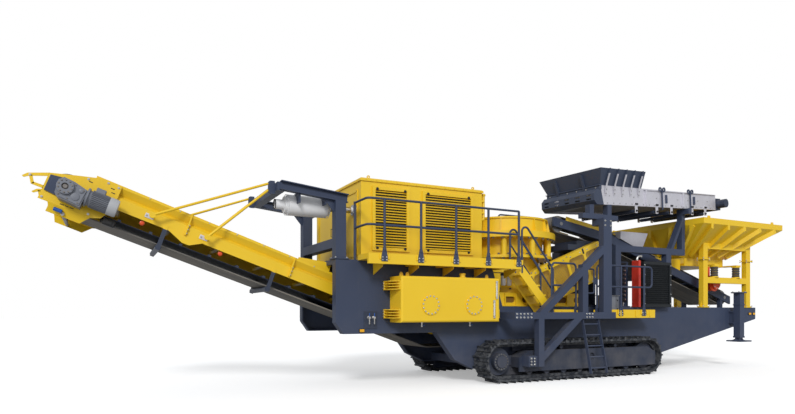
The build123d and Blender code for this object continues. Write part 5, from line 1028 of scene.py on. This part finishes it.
# %% Head plates with their arms
HEAD_ALONG = 6.943
CHEEK_IN, CHEEK_OUT = 0.648, 0.668
CHEEK = (
    ((0.311, -0.280), (0.301, 0.147), (-0.116, 0.288), (-0.406, 0.380), (-0.700, 0.372), (-0.700, 0.0),
     (-0.587, -0.228), (-0.450, -0.280)),
    ((0.300, 0.147), (0.558, 0.022), (0.613, -0.046), (0.585, -0.060), (0.525, -0.012), (0.300, 0.092)),
    ((0.535, 0.005), (0.465, -0.115), (0.425, -0.095), (0.490, 0.020)),
    ((0.465, -0.115), (0.300, -0.115), (0.300, -0.068), (0.440, -0.072)))
CHEEK_FOOT = ((0.174, -0.278, 0.664), (0.112, -0.412, 0.600), (-0.333, -0.421, 0.600), (-0.450, -0.278, 0.664))
CHEEK_SLOTS = ((-0.265, 0.255), (-0.585, 0.285), (-0.615, 0.222), (-0.02, -0.245), (-0.09, -0.245),
               (-0.16, -0.245))
CHEEK_BOLTS = ((0.27, -0.24), (0.26, 0.11), (-0.22, 0.285), (-0.50, 0.345), (-0.66, 0.335), (-0.66, 0.05),
               (-0.40, -0.24), (0.52, 0.01))


def head(a, u, y):
    return on_incline(HEAD_ALONG + a, u, y)


cheeks, slot_shade, heads = Shape(), Shape(), []
for side, out in SIDES:
    face = side * CHEEK_OUT
    for outline in CHEEK:
        cheeks.plate([head(a, u, side * CHEEK_IN) for a, u in outline], out * (CHEEK_OUT - CHEEK_IN))
    cheeks.plate([head(a, u, side * y) for a, u, y in CHEEK_FOOT], out * 0.008)
    # The slots are not cut: thin black bars on the face are painted shade for their dark insides.
    for a, u in CHEEK_SLOTS:
        slot_shade.bar(head(a - 0.028, u, face), head(a + 0.028, u, face), 0.003, 0.014, RISE)
    heads += [(head(a, u, face), out) for a, u in CHEEK_BOLTS]
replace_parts(cheeks.keep("head_plates", "yellow_paint"), "discharge_head_cheeks")
slot_shade.keep("head_plate_slot_shade", "black_fittings")
bolts("head_plate_bolts", heads, 0.013)
print("head plates stand for the plain ones")

# %% [markdown]
# The gear unit sits on the drum's shaft with its finned motor lying down the slope. The case is an outline
# with a slightly smaller cover, and the motor is turned, with thirty bars round it as cooling fins. A bump
# could fake the fins, but they show in the outline.

# %% Gear unit and motor
CASE = ((0.102, -0.147), (0.052, -0.195), (-0.275, -0.225), (-0.304, 0.058), (-0.095, 0.112), (0.060, 0.125),
        (0.120, 0.060))
CASE_MIDDLE = (-0.09, -0.045)
CASE_BOLTS = ((0.05, -0.15), (-0.08, -0.17), (-0.23, -0.18), (-0.25, 0.03), (-0.12, 0.07))
MOTOR = [(0.120, 0), (0.150, 0.008), (0.150, 0.034), (0.126, 0.040), (0.118, 0.07), (0.118, 0.34)]
FAN_COWL = [(0.143, 0), (0.144, 0.10), (0.134, 0.135), (0.09, 0.142), (0.02, 0.142)]
SHAFT_END = [(0.050, 0), (0.050, 0.02), (0.034, 0.022), (0.034, 0.042), (0.028, 0.046)]
TORQUE_PLATE = ((0.275, -0.130), (0.270, 0.125), (0.110, 0.150), (0.090, -0.150))
BEARING = [(0.115, 0), (0.110, 0.05), (0.085, 0.075), (0.040, 0.078)]
gear, cowl, shaft, plates = Shape(), Shape(), Shape(), Shape()
for scale, y0, y1 in ((1.0, -0.955, -0.690), (0.90, -0.972, -0.955)):
    outline = [[m + (c - m) * scale for m, c in zip(CASE_MIDDLE, corner)] for corner in CASE]
    gear.plate([head(a, u, y1) for a, u in outline], NEAR * (y1 - y0))
for a, u, radius in ((-0.17, -0.10, 0.060), (-0.22, 0.015, 0.035)):
    gear.turned(head(a, u, -0.970), NEAR, [(radius, 0), (radius, 0.012), (radius * 0.7, 0.018)], 20)
gear.hollow(head(0, -0.01, -0.965), NEAR, 0.050, 0.118, 0.050)
motor = head(-0.292, -0.02, -0.830)
gear.turned(motor, DOWNHILL, MOTOR, 28)
for p in ring(motor, DOWNHILL, 0.128, 30):
    gear.bar(p + DOWNHILL * 0.075, p + DOWNHILL * 0.325, 0.006, 0.026, (p - motor).normalized())
gear.block(head(-0.465, 0.138, -0.83), (-0.07, -0.065, -0.04), (0.07, 0.065, 0.04), 0.008, TILT)
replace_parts(gear.keep("gear_unit_and_motor", "grey_paint"), "discharge_gearmotor")
cowl.turned(motor + DOWNHILL * 0.335, DOWNHILL, FAN_COWL, 32)
cowl.keep("motor_fan_cowl", "pale_grey")
heads = round_heads(head(0, -0.01, -1.015), NEAR, 0.095, 10)
heads += [(head(a, u, -0.972), NEAR) for a, u in CASE_BOLTS]
bolts("gear_bolts", heads, 0.010, "cast_steel")
shaft.turned(head(0, -0.01, -0.960), NEAR, SHAFT_END, 24)
shaft.keep("gear_shaft_end", "cast_steel")
plates.plate([head(a, u, -CHEEK_OUT) for a, u in TORQUE_PLATE], NEAR * 0.03)
q = head(0, 0, CHEEK_OUT)
plates.block(q, (-0.16, 0, -0.11), (0.16, 0.03, 0.11), 0.012, TILT)
plates.turned(q + FAR * 0.03, FAR, BEARING, 28)
plates.keep("head_bearing_plates", "slate_paint")
print("gear unit stands for the plain one")

# %% [markdown]
# A rubber blade on a shaft scrapes the belt clean under the drum, and a short blue ram presses it on. A bar,
# a tube and a turned body are enough, because they hang in the shade. The belt's switch is a rounded box that
# is turned with the slope.

# %% Scraper under the drum
blade, holder, ram, switch = Shape(), Shape(), Shape(), Shape()
p = head(-0.06, -0.335, 0)
blade.bar(p + NEAR * 0.50, p + FAR * 0.50, 0.024, 0.09, RISE)
blade.keep("scraper_blade", "soft_rubber")
holder.tube([p + Vector((0, y, -0.045)) for y in (-0.655, 0.655)], 0.028, 12)
holder.keep("scraper_shaft", "grey_steel")
ram.turned(head(0.064, -0.350, -0.676), DOWNHILL, [(0.020, 0), (0.030, 0.006), (0.030, 0.12), (0.020, 0.126)], 16)
ram.keep("scraper_ram", "tap_blue")
p = head(-0.715, -0.245, -0.60)
switch.block(p, (-0.10, -0.07, -0.055), (0.10, 0.07, 0.055), 0.018, TILT)
switch.block(p, (-0.05, -0.085, -0.03), (0.05, -0.068, 0.03), 0.008, TILT)
switch.keep("belt_switch_box", "black_fittings")
print("scraper set")

# %% [markdown]
# ## Crusher
# The crusher's flanges are held by heavy bolts all round, with nuts under them. Circles of places round the
# crusher's axis give them all. The feed ring has stiffening ribs under its rim, which are plates that stand
# out from the ring like spokes.

# %% Flange bolts and ring ribs
RING_TURN = 0.05


def on_axis(z):
    """A place on the crusher's axis."""
    return at(8.290, 0, z)


for name, way, size, circles in (
        ("bolts", UP, 0.026, ((1.050, 2.669, 32), (1.118, 3.115, 36), (0.885, 1.920, 24))),
        ("nuts", DOWN, 0.024, ((1.050, 2.609, 32), (1.118, 3.045, 36)))):
    heads = [h for radius, z, count in circles for h in round_heads(on_axis(z), way, radius, count, RING_TURN)]
    bolts("crusher_flange_" + name, heads, size, "cast_steel")
ribs = Shape()
ribs.hollow(on_axis(3.465), UP, 0.968, 1.000, 0.035, 72)
for p in ring(on_axis(3.18), UP, 0.969, 16, 0.1):
    out = (p - on_axis(3.18)).normalized()
    tip = p + UP * 0.285
    ribs.plate([p, p + out * 0.085, tip + out * 0.030, tip], out.cross(UP) * 0.014)
ribs.keep("feed_ring_ribs", "yellow_paint")
print("crusher bolted")

# %% [markdown]
# The belt guard's windows are closed by flat bar screens, bolted on round the edge. Each screen is two rows
# of bars, crossed. A texture with holes would be lighter, but real bars throw shadows and can be seen from
# the side.

# %% Belt guard: screens, edge bolts, catches
GUARD_TURN = math.atan2(0.62, 1.58)
GUARD_RUN = Vector((math.cos(GUARD_TURN), 0, math.sin(GUARD_TURN)))
GUARD_RISE = Vector((-math.sin(GUARD_TURN), 0, math.cos(GUARD_TURN)))
GUARD_FACE = -1.080


def on_guard(along, up, y):
    return at(8.550, y, 1.990) + GUARD_RUN * along + GUARD_RISE * up


catches, heads, turn = Shape(), [], (0, -GUARD_TURN, 0)
for a in (0.056, 0.584, 1.113, 1.641):
    name = "guard_screen_%d" % round(a * 1000)
    bars(name + "_bars", on_guard(a - 0.215, 0, -1.0655), GUARD_RUN * 0.0215, 21, (0.005, 0.003, 0.63),
         "screen_tan", turn)
    bars(name + "_wires", on_guard(a, -0.285, -1.0685), GUARD_RISE * 0.03, 20, (0.47, 0.003, 0.005),
         "screen_tan", turn)
    heads += [(on_guard(a + da, up, GUARD_FACE), NEAR) for da in (-0.15, 0.15) for up in (-0.345, 0.345)]
heads += [(on_guard(a, up, GUARD_FACE), NEAR) for a in (-0.20, 0.32, 0.85, 1.38, 1.90) for up in (-0.385, 0.385)]
bolts("guard_bolts", heads, 0.011)
for a in (0.32, 1.38):
    p = on_guard(a, 0.385, GUARD_FACE) - GUARD_RUN * 0.02
    catches.bar(p + GUARD_RISE * 0.02, p - GUARD_RISE * 0.10, 0.045, 0.012, NEAR)
catches.keep("guard_catches", "black_fittings")
print("guard screened")

# %% [markdown]
# Ribs stiffen the subframe's sides, and dark ochre plates inside them are painted shade for the deep hollows
# between the ribs. Clips hold the walkway's edge. All are plain boxes, set by loops over a step or a list of
# places, because they differ only in where they are.

# %% Subframe ribs and walkway clips
ribs, pocket_shade_plates, clips = Shape(), Shape(), Shape()
for step in range(9):
    for side in (-1, 1):
        ribs.block(at(7.61 + step * 0.285, side * 0.940, 1.565), (0, 0, 0), (0.020, side * 0.040, 0.270), 0.003)
for side in (-1, 1):
    ribs.box(at(7.50, side * 0.938, 1.555), at(9.95, side * 0.985, 1.575), 0.003)
    # Dark ochre plates inside the sides: painted shade for the hollows between the ribs.
    pocket_shade_plates.box(at(7.52, side * 0.880, 1.560), at(9.93, side * 0.895, 1.805), 0.002)
ribs.keep("subframe_ribs", "yellow_paint")
pocket_shade_plates.keep("subframe_shade_plates", "pocket_shade")
for x in (8.62, 9.02, 9.86, 10.30, 10.78, 11.22):
    clips.box(at(x - 0.018, -1.618, 1.330), at(x + 0.018, -1.598, 1.470))
clips.keep("walkway_clips", "yellow_paint")
print("subframe ribbed")

# %% [markdown]
# Round the crusher stand the things that serve it: two oil filters with a breather on a bracket, and a grey
# switch cabinet on the walkway. The filters are turned like real cans, and the cabinet is three eased boxes:
# body, lid and door.

# %% Filters and switch cabinet
FILTER_HEAD = [(0.062, 0), (0.062, 0.045), (0.050, 0.05)]
FILTER_CAN = [(0.050, 0), (0.054, 0.01), (0.054, 0.19), (0.040, 0.205)]
BREATHER = [(0.045, 0), (0.050, 0.005), (0.050, 0.06), (0.035, 0.072)]
stand, cans, caps, cabinet, fittings = Shape(), Shape(), Shape(), Shape(), Shape()
low = at(7.20, -1.02, 2.255)
stand.block(low, (0, 0, 0), (0.66, 0.08, 0.014), 0.003)
stand.block(low, (0, 0, -0.12), (0.012, 0.08, 0.014), 0.003)
for x in (7.555, 7.705):
    p = at(x, -0.985, 2.250)
    stand.turned(p, DOWN, FILTER_HEAD, 20)
    cans.turned(p + DOWN * 0.05, DOWN, FILTER_CAN, 22)
caps.turned(at(7.830, -0.985, 2.268), UP, BREATHER, 18)
stand.keep("filter_bracket", "slate_paint")
cans.keep("oil_filters", "white_paint")
caps.keep("breather_cap", "tap_blue")
cabinet.box(at(10.03, -1.34, 1.402), at(10.53, -1.13, 1.800), 0.010)
cabinet.box(at(10.015, -1.36, 1.800), at(10.545, -1.12, 1.815))
cabinet.box(at(10.055, -1.352, 1.430), at(10.505, -1.338, 1.775), 0.006)
cabinet.keep("switch_cabinet", "grey_paint")
for z in (1.50, 1.70):
    fittings.turned(at(10.47, -1.352, z), NEAR, [(0.016, 0), (0.016, 0.010), (0.008, 0.012)], 14)
    fittings.turned(at(10.062, -1.350, z - 0.03), UP, [(0.008, 0), (0.008, 0.06)], 8)
fittings.keep("cabinet_fittings", "black_fittings")
print("crusher's fittings set")

# %% [markdown]
# The support frame's members are bolted together where they meet. The bolts are given as columns and levels,
# which is how a drilled pattern is drawn, so a row is added by one number.

# %% Bolt plates on the support frame
PLATE_BOLTS = (((7.29, 7.38, 7.47, 7.56, 7.65, 9.12, 9.20, 9.28), (1.325, 1.395)),
               ((7.65, 7.73), (0.38, 0.44, 0.50)), ((9.64, 9.80), (3.40, 3.30)))
heads = [(at(x, -1.790, z), NEAR) for columns, levels in PLATE_BOLTS for x in columns for z in levels]
bolts("support_frame_bolts", heads, 0.014)
print("support frame bolted")

# %% [markdown]
# ## Return conveyor
# The return conveyor lies on its own slope and is turned a little in plan, so its pieces are made square in a
# frame of their own and then laid in place by one matrix. Its bright side panels are joined by flanges,
# straps join the feed boot's wings to the panels, and a bolted frame closes the boot at the tail.

# %% Panel joints, straps and the boot's frame
RETURN_TURN, RETURN_TILT = math.radians(7.0), math.radians(-3.9)
RETURN = (Matrix.Translation(at(9.80, -1.60, 3.79)) @ Matrix.Rotation(RETURN_TURN, 4, "Z")
          @ Matrix.Rotation(RETURN_TILT, 4, "Y"))
RETURN_WIDTH = 1.50
RETURN_SIDES = ((-1, 0.0), (1, RETURN_WIDTH))
STRAPS, STRAP_RUN, STRAP_START = 5, 1.4724, -0.0924
STRAP_BENDS = ((0.001, 0.20), (0.046, 0.44), (0.130, 0.66))
to_return = RETURN.to_3x3()


def on_return(u, v, w, way):
    """A bolt's place on the return conveyor, and the way it looks."""
    return RETURN @ Vector((u, v, w)), to_return @ way


joints, straps, base, heads = Shape(RETURN), Shape(RETURN), Shape(RETURN), []
for (side, v0), (_, out) in zip(RETURN_SIDES, SIDES):
    for u in (1.52, 3.04):
        for step in (-0.016, 0.004):
            joints.box((u + step, v0, 0.012), (u + step + 0.012, v0 + side * 0.045, 0.385), 0.002)
        heads += [on_return(u + 0.016, v0 + side * 0.024, w, RIGHT) for w in (0.06, 0.16, 0.26, 0.35)]
    joints.box((1.45, v0, 0.372), (4.52, v0 + side * 0.030, 0.384), 0.002)
    heads += [on_return(0.12 + 0.22 * i, v0, 0.04, out) for i in range(20)]
    heads += [on_return(0.20 + 0.44 * i, v0, 0.20, out) for i in range(10)]
joints.keep("panel_joints", "galvanised")
bolts("panel_bolts", heads, 0.010)
heads = []
for step in range(STRAPS):
    u = STRAP_START + STRAP_RUN * (step + 0.5) / STRAPS
    for side, v0 in RETURN_SIDES:
        bends = [(v0 + side * v, w) for v, w in STRAP_BENDS]
        for (va, wa), (vb, wb) in zip(bends, bends[1:]):
            outline = ((va, wa), (vb, wb), (vb + side * 0.012, wb), (va + side * 0.012, wa))
            straps.plate([(u - 0.016, v, w) for v, w in outline], RIGHT * 0.045)
        heads += [on_return(u + 0.006, v0 + side * v, w, FAR * side) for v, w in ((0.022, 0.245), (0.036, 0.330))]
straps.keep("boot_straps", "galvanised")
base.box((-0.125, -0.01, 0.325), (-0.060, RETURN_WIDTH + 0.01, 0.425), 0.006)
base.box((-0.150, -0.02, 0.412), (-0.060, RETURN_WIDTH + 0.02, 0.432), 0.003)
for v in (0.38, 1.12):
    base.plate([(-0.130, v, 0.33), (-0.100, v, 0.42), (-0.205, v, 0.70), (-0.245, v, 0.70)], FAR * 0.055)
heads += [on_return(-0.125, 0.10 + 0.26 * i, 0.372, LEFT) for i in range(6)]
# The boot's frame takes the paler slate too, painted light like the boot's end.
base.keep("boot_base_frame", "boot_slate_painted_light")
bolts("boot_bolts", heads, 0.011)
print("panels joined")

# %% [markdown]
# Hangers hold the rollers of the lower run, and brackets with rings sit on the panels. A roller is turned in
# one go with its thin shaft ends, and a hanger is two flat boxes, one over the other, as a strap with a
# doubled top.

# %% Hangers, rollers and ring brackets
ROLLER = [(0.014, 0), (0.014, 0.04), (0.044, 0.042), (0.044, 1.42), (0.014, 1.422), (0.014, 1.46)]
HANGER_BOLTS = ((0, -0.11), (-0.025, 0.045), (0.025, 0.045))
hangers, rolls, hooks, heads = Shape(RETURN), Shape(RETURN), Shape(RETURN), []
for u in (1.15, 1.95, 2.55, 3.45, 4.05):
    for side, v0 in RETURN_SIDES:
        hangers.box((u - 0.048, v0, -0.16), (u + 0.048, v0 + side * 0.010, 0.09), 0.002)
        hangers.box((u - 0.060, v0, 0.02), (u + 0.060, v0 + side * 0.014, 0.09), 0.002)
        heads += [on_return(u + du, v0 + side * 0.010, w, FAR * side) for du, w in HANGER_BOLTS]
    rolls.turned(Vector((u, 0.02, -0.11)), FAR, ROLLER, 18)
hangers.keep("roller_hangers", "galvanised")
bolts("hanger_bolts", heads, 0.018, "black_fittings")
rolls.keep("return_rollers", "charcoal_paint")
for u in (2.16, 3.36):
    for side, v0 in RETURN_SIDES:
        inner, outer = v0 + side * 0.012, v0 + side * 0.034
        hooks.box((u - 0.02, inner, -0.06), (u + 0.02, outer, 0.40))
        for du in (-0.075, 0.075):
            hooks.hollow(Vector((u + du, inner, 0.415)), FAR * side, 0.026, 0.058, 0.022, 20)
        hooks.box((u - 0.08, inner, 0.362), (u + 0.08, outer, 0.395))
        hooks.box((u + 0.15, v0, 0.10), (u + 0.21, v0 + side * 0.03, 0.30), 0.006)
hooks.keep("ring_brackets", "slate_paint")
print("return conveyor dressed")

# %% [markdown]
# ## Cooler
# The oil cooler's core is a block of thin fins between flat tubes, which the tree for bars lays in two rows.
# On its far face a fan sits behind a guard of wire rings, and a bent pipe comes out of the top of the red
# cowl beside it. The wires are real tubes, because one looks through the guard.

# %% Fins, tubes, fan and guard
COOLER_X, COOLER_Z = 11.875, 2.090
BEND_RADIUS, BEND_STEPS = 0.07, 6
cooler_low, cooler_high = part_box("oil_cooler")
core_y = cooler_low.y + 0.030
bars("cooler_fins", on_face(11.474, COOLER_Z, core_y - 0.006), RIGHT * 0.0081, 100, (0.0022, 0.012, 0.930),
     "black_paint")
bars("cooler_tubes", on_face(COOLER_X, 1.640, core_y - 0.009), UP * 0.0475, 20, (0.806, 0.006, 0.012),
     "black_paint")
heads = [(on_face(x, 1.63 + 0.23 * i, cooler_low.y), NEAR) for x in (11.43, 12.32) for i in range(5)]
bolts("cooler_bolts", heads, 0.011)
fan, wires, elbow = Shape(), Shape(), Shape()
back = on_face(COOLER_X, COOLER_Z, cooler_high.y)
fan.turned(back + NEAR * 0.08, FAR, [(0.08, 0), (0.08, 0.045), (0.05, 0.06)], 20)
hub = back + NEAR * 0.055
for p in ring(hub, FAR, 0.17, 7):
    out = (p - hub).normalized()
    across, lean = out.cross(FAR), FAR * 0.03
    root, tip = p - out * 0.10, p + out * 0.11
    fan.plate([root - across * 0.03, tip - across * 0.06, tip + across * 0.06 + lean, root + across * 0.03 + lean],
              FAR * 0.004)
fan.keep("cooler_fan", "grey_paint")
for radius in (0.06, 0.12, 0.18, 0.24, 0.30):
    loop = ring(back + FAR * 0.012, FAR, radius, 32)
    wires.tube(loop + [loop[0]], 0.003, 5)
for p in ring(back + FAR * 0.016, FAR, 0.31, 8):
    wires.tube([back + FAR * 0.016, p], 0.004, 5)
wires.keep("fan_guard", "black_paint")
foot = at(11.265, -1.20, 2.65)
middle = foot + Vector((BEND_RADIUS, 0, 0.03))
angles = [math.pi / 2 * i / BEND_STEPS for i in range(BEND_STEPS + 1)]
bend = [middle + BEND_RADIUS * (LEFT * math.cos(t) + UP * math.sin(t)) for t in angles]
elbow.tube([foot, *bend, foot + Vector((0.13, 0, 0.10))], 0.030, 14)
elbow.hollow(foot + Vector((0.10, 0, 0.10)), RIGHT, 0.029, 0.040, 0.03, 18)
elbow.keep("cooler_elbow", "silver")
print("cooler dressed")

# %% [markdown]
# ## Valve bank
# Between the belt guard and the cooler the photograph shows only a dark tangle. A bank of valves, which
# shares the oil out to the drives, stands in for it: a stack of cast sections on a stand, each with a spool
# cap, a magnet coil and two plugs, and rigid pipes from its foot into the chassis. One loop makes every
# section, so the stack grows by one count.

# %% Valve sections, stand and pipes
SECTIONS, SECTION_RISE = 9, 0.098
SPOOL_CAP = [(0.032, 0), (0.032, 0.020), (0.024, 0.026), (0.024, 0.040)]
COIL = [(0.036, 0), (0.036, 0.030), (0.020, 0.034), (0.014, 0.044)]
stand, blocks, coils, pipes, heads = Shape(), Shape(), Shape(), Shape(), []
for low, high in (((10.87, -1.06, 1.548), (11.20, -0.76, 1.575)), ((10.871, -0.80, 1.56), (10.899, -0.76, 2.64)),
                  ((11.171, -0.80, 1.56), (11.199, -0.76, 2.64)), ((10.871, -0.80, 2.62), (11.199, -0.76, 2.65)),
                  ((10.80, -0.76, 1.548), (11.46, -0.748, 2.66))):
    stand.box(at(*low), at(*high), 0.003)
for i in range(SECTIONS):
    low = at(10.935, -0.99, 1.69) + UP * SECTION_RISE * i
    middle = low + Vector((0.10, 0, 0.044))
    blocks.block(low, (0, 0, 0), (0.20, 0.20, SECTION_RISE - 0.010), 0.006)
    blocks.turned(middle + LEFT * 0.10, LEFT, SPOOL_CAP, 16)
    coils.turned(middle + RIGHT * 0.10 + FAR * 0.10, RIGHT, COIL, 16)
    coils.block(middle, (-0.030, -0.036, -0.022), (0.030, 0.004, 0.022), 0.005)
    heads += [(middle + RIGHT * x, NEAR) for x in (-0.062, 0.062)]
for z0, z1 in ((1.66, 1.695), (2.568, 2.605)):
    blocks.box(at(10.925, -1.00, z0), at(11.145, -0.78, z1))
for x in (10.965, 11.035, 11.105):
    pipes.tube([at(x, -0.93, 1.665), at(x, -0.93, 1.57)], 0.016, 12)
    pipes.turned(at(x, -0.93, 1.66), DOWN, [(0.026, 0), (0.026, 0.030), (0.018, 0.036)], 6)
stand.keep("valve_stand", "slate_paint")
blocks.keep("valve_blocks", "black_paint")
coils.keep("valve_coils", "black_fittings")
pipes.keep("valve_pipes", "silver")
bolts("valve_plugs", heads, 0.015)
print("valve sections:", SECTIONS)

# %% [markdown]
# ## Feeder and hopper
# Each of the feeder's springs is a stack of rubber rings between steel seats, and the vibrating motor has
# cooling fins and a bolted cover. Steel coils would be drawn as a curve, but rubber springs are turned rings,
# so one profile is stacked four times.

# %% Feeder springs and motor cover
SPRING_X, SPRING_Y, SPRING_FOOT, SPRING_RINGS = (14.2332, 15.1068), 1.065, 2.330, 4
SPRING_RING = [(0.078, 0), (0.092, 0.012), (0.092, 0.045), (0.078, 0.058)]
rubber, seats, fins = Shape(), Shape(), Shape()
for x in SPRING_X:
    for side in (-1, 1):
        p = at(x, side * SPRING_Y, SPRING_FOOT)
        for step in range(SPRING_RINGS):
            rubber.turned(p + UP * (0.030 + 0.062 * step), UP, SPRING_RING, 22)
        for z in (0.0, 0.282):
            seats.turned(p + UP * z, UP, [(0.105, 0), (0.105, 0.026)], 22)
rubber.keep("spring_rubber", "soft_rubber")
seats.keep("spring_seats", "yellow_paint")
for step in range(9):
    fins.hollow(at(14.459, -0.910 + 0.026 * step, 2.190), FAR, 0.188, 0.205, 0.010, 36)
fins.keep("exciter_fins", "orange_paint")
bolts("exciter_bolts", round_heads(at(14.459, -0.980, 2.190), NEAR, 0.125, 8), 0.013)
print("feeder dressed")

# %% [markdown]
# Legs and beams meet in bolted flanges with small gussets, and the hopper's rim has lifting lugs. The gussets
# are three-cornered plates, made on both sides of each leg by one loop, so that they mirror each other.

# %% Flanges and lugs of the hopper
LEG_MIDDLES, LEG_FOOT = (13.805, 15.535), 1.580
LUG = ((-0.06, 0), (0.06, 0), (0.04, 0.07), (-0.04, 0.07))
webs, lugs, heads = Shape(), Shape(), []
for x in LEG_MIDDLES:
    for side in (-1, 1):
        y = side * SPRING_Y
        heads += [(at(x + dx, y + dy, z), way) for z, way in ((LEG_FOOT, UP), (2.810, UP), (2.780, DOWN))
                  for dx in (-0.115, 0.115) for dy in (-0.09, 0.09)]
        for way in (-1, 1):
            p = at(x + way * 0.085, y - 0.006, LEG_FOOT)
            webs.plate([p, p + RIGHT * way * 0.045, p + UP * 0.16], FAR * 0.012)
bolts("leg_bolts", heads, 0.014)
webs.keep("leg_gussets", "yellow_paint")
for x in (13.40, 15.95):
    for side in (-1, 1):
        lugs.plate([at(x + dx, side * 1.52, 3.750 + dz) for dx, dz in LUG], FAR * 0.016)
lugs.keep("hopper_lugs", "yellow_paint")
print("hopper dressed")

# %% [markdown]
# ## Jacks
# The jacks are slender square posts in square sleeves, with a flat cap, a bracket to the chassis and a broad
# foot plate with ribs. A sleeve is a square ring drawn out along its height, so the post has room to slide in
# it. Only the post and its foot ride on the moving body.

# %% Jack sleeves and legs
JACK_X, JACK_Y, SLEEVE_HALF, COLLAR_HALF, BORE_HALF, LEG_HALF = 14.855, 1.320, 0.088, 0.098, 0.074, 0.070
SLEEVE_FOOT, SLEEVE_TOP, CAP_TOP, BRACKET_REACH, FOOT_TOP = 0.760, 1.920, 1.950, 0.220, 0.695
SQUARE = ((-1, -1), (1, -1), (1, 1), (-1, 1))
sleeves, heads = Shape(), []
for side, body in ((-1, "jack_leg_near"), (1, "jack_leg_far")):
    middle = at(JACK_X, side * JACK_Y, 0)
    for z0, z1, half in ((SLEEVE_FOOT, SLEEVE_TOP, SLEEVE_HALF), (SLEEVE_FOOT, 0.800, COLLAR_HALF),
                         (1.600, 1.640, COLLAR_HALF)):
        profile = ((BORE_HALF, z0), (half, z0), (half, z1), (BORE_HALF, z1), (BORE_HALF, z0))
        sleeves.rings([[middle + Vector((sx * r, sy * r, z)) for sx, sy in SQUARE] for r, z in profile], False)
    sleeves.block(middle, (-0.16, -0.12, SLEEVE_TOP), (0.16, 0.12, CAP_TOP), 0.006)
    near, far = -side * SLEEVE_HALF, -side * BRACKET_REACH
    for z in (1.130, 1.420):
        sleeves.block(middle, (-0.10, near, z), (0.10, far, z + 0.022), 0.003)
    for dx in (-0.07, 0.05):
        sleeves.block(middle, (dx, near, 1.10), (dx + 0.02, far, 1.46), 0.003)
    heads += [(middle + Vector((dx, dy, CAP_TOP)), UP) for dx in (-0.125, 0.125) for dy in (-0.085, 0.085)]
    leg = Shape()
    leg.block(middle, (-LEG_HALF, -LEG_HALF, 0.690), (LEG_HALF, LEG_HALF, 1.880), 0.012)
    leg.block(middle, (-0.230, -0.200, 0.660), (0.230, 0.200, FOOT_TOP), 0.008)
    for way in (-1, 1):
        for along, across, reach in ((RIGHT, FAR, 0.13), (FAR, RIGHT, 0.11)):
            p = middle + along * way * LEG_HALF - across * 0.007 + UP * FOOT_TOP
            leg.plate([p, p + along * way * reach, p + UP * 0.045], across * 0.014)
    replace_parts(leg.keep(body + "_post", "slate_paint", body), body)
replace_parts(sleeves.keep("jack_sleeve_posts", "slate_paint"), "jack_sleeves")
bolts("jack_cap_bolts", heads, 0.014)
print("jacks stand for the plain ones")

# %% [markdown]
# ## Crawler tracks
# Every shoe is held to its links by four bolts. A function gives the place and the outward direction along
# the loop of shoes, from the upper run round the idler and back, so the bolts follow the bends. Hub covers
# are bolted too, and flat charcoal plates on the inside, behind the rollers, are painted shade that keeps the
# gaps between the rollers dark.

# %% Shoe bolts, hub bolts and painted shade behind the rollers
SPROCKET_X, IDLER_X, WHEEL_Z, TRACK_Y = 7.110, 11.230, 0.435, 1.360
LOOP_RADIUS, SHOE_FACE, SHOES, PITCH = 0.365, 0.393, 55, 0.1915
STRAIGHT, BEND = IDLER_X - SPROCKET_X, math.pi * LOOP_RADIUS


def on_track(s, y):
    """Place and outward direction on the shoe loop; it starts over the sprocket and runs to the idler."""
    lap, s = divmod(s, STRAIGHT + BEND)
    way = 1 if lap % 2 == 0 else -1
    start, end = (SPROCKET_X, IDLER_X)[::way]
    turn = max(s - STRAIGHT, 0) / LOOP_RADIUS
    out = Vector((math.sin(turn), 0, math.cos(turn))) * way
    x = start + way * s if s < STRAIGHT else end
    return at(x, y, WHEEL_Z) + out * SHOE_FACE, out


for (side, out), label in zip(SIDES, ("near", "far")):
    heads = [on_track((shoe + 0.5) * PITCH + ds, side * (TRACK_Y + dy))
             for shoe in range(SHOES) for ds in (-0.055, 0.055) for dy in (-0.09, 0.09)]
    bolts("shoe_bolts_" + label, heads, 0.012, "track_steel")
    hub = at(SPROCKET_X, side * 1.520, WHEEL_Z)
    bolts("hub_bolts_" + label, round_heads(hub, out, 0.150, 16), 0.012, "cast_steel")
    # Charcoal plates behind the rollers: painted shade for the dark inside of the track.
    guard = Shape()
    for x0, x1, z0, z1 in ((SPROCKET_X, IDLER_X, 0.085, 0.330), (7.62, 10.90, 0.620, 0.760)):
        guard.box(at(x0, side * 1.205, z0), at(x1, side * 1.215, z1), 0.002)
    guard.keep("roller_shade_plate_" + label, "charcoal_paint")
print("tracks dressed")

# %% [markdown]
# The gate beside the ladder closes with a small latch, an eased box with a turned knob. It rides on the
# gate's body, so that it moves with the gate.

# %% Gate latch
latch = Shape()
gate_low, gate_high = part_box("ladder_gate")
middle = (gate_low + gate_high) / 2
tip = Vector((gate_low.x + 0.02, middle.y, middle.z))
latch.block(tip, (-0.018, -0.026, -0.045), (0.018, 0.026, 0.045), 0.006)
latch.turned(tip + NEAR * 0.026, NEAR, [(0.012, 0), (0.012, 0.016), (0.020, 0.018), (0.020, 0.026)], 12)
latch.keep("gate_latch", "black_fittings", "ladder_gate")
print("gate latch rides on the gate")
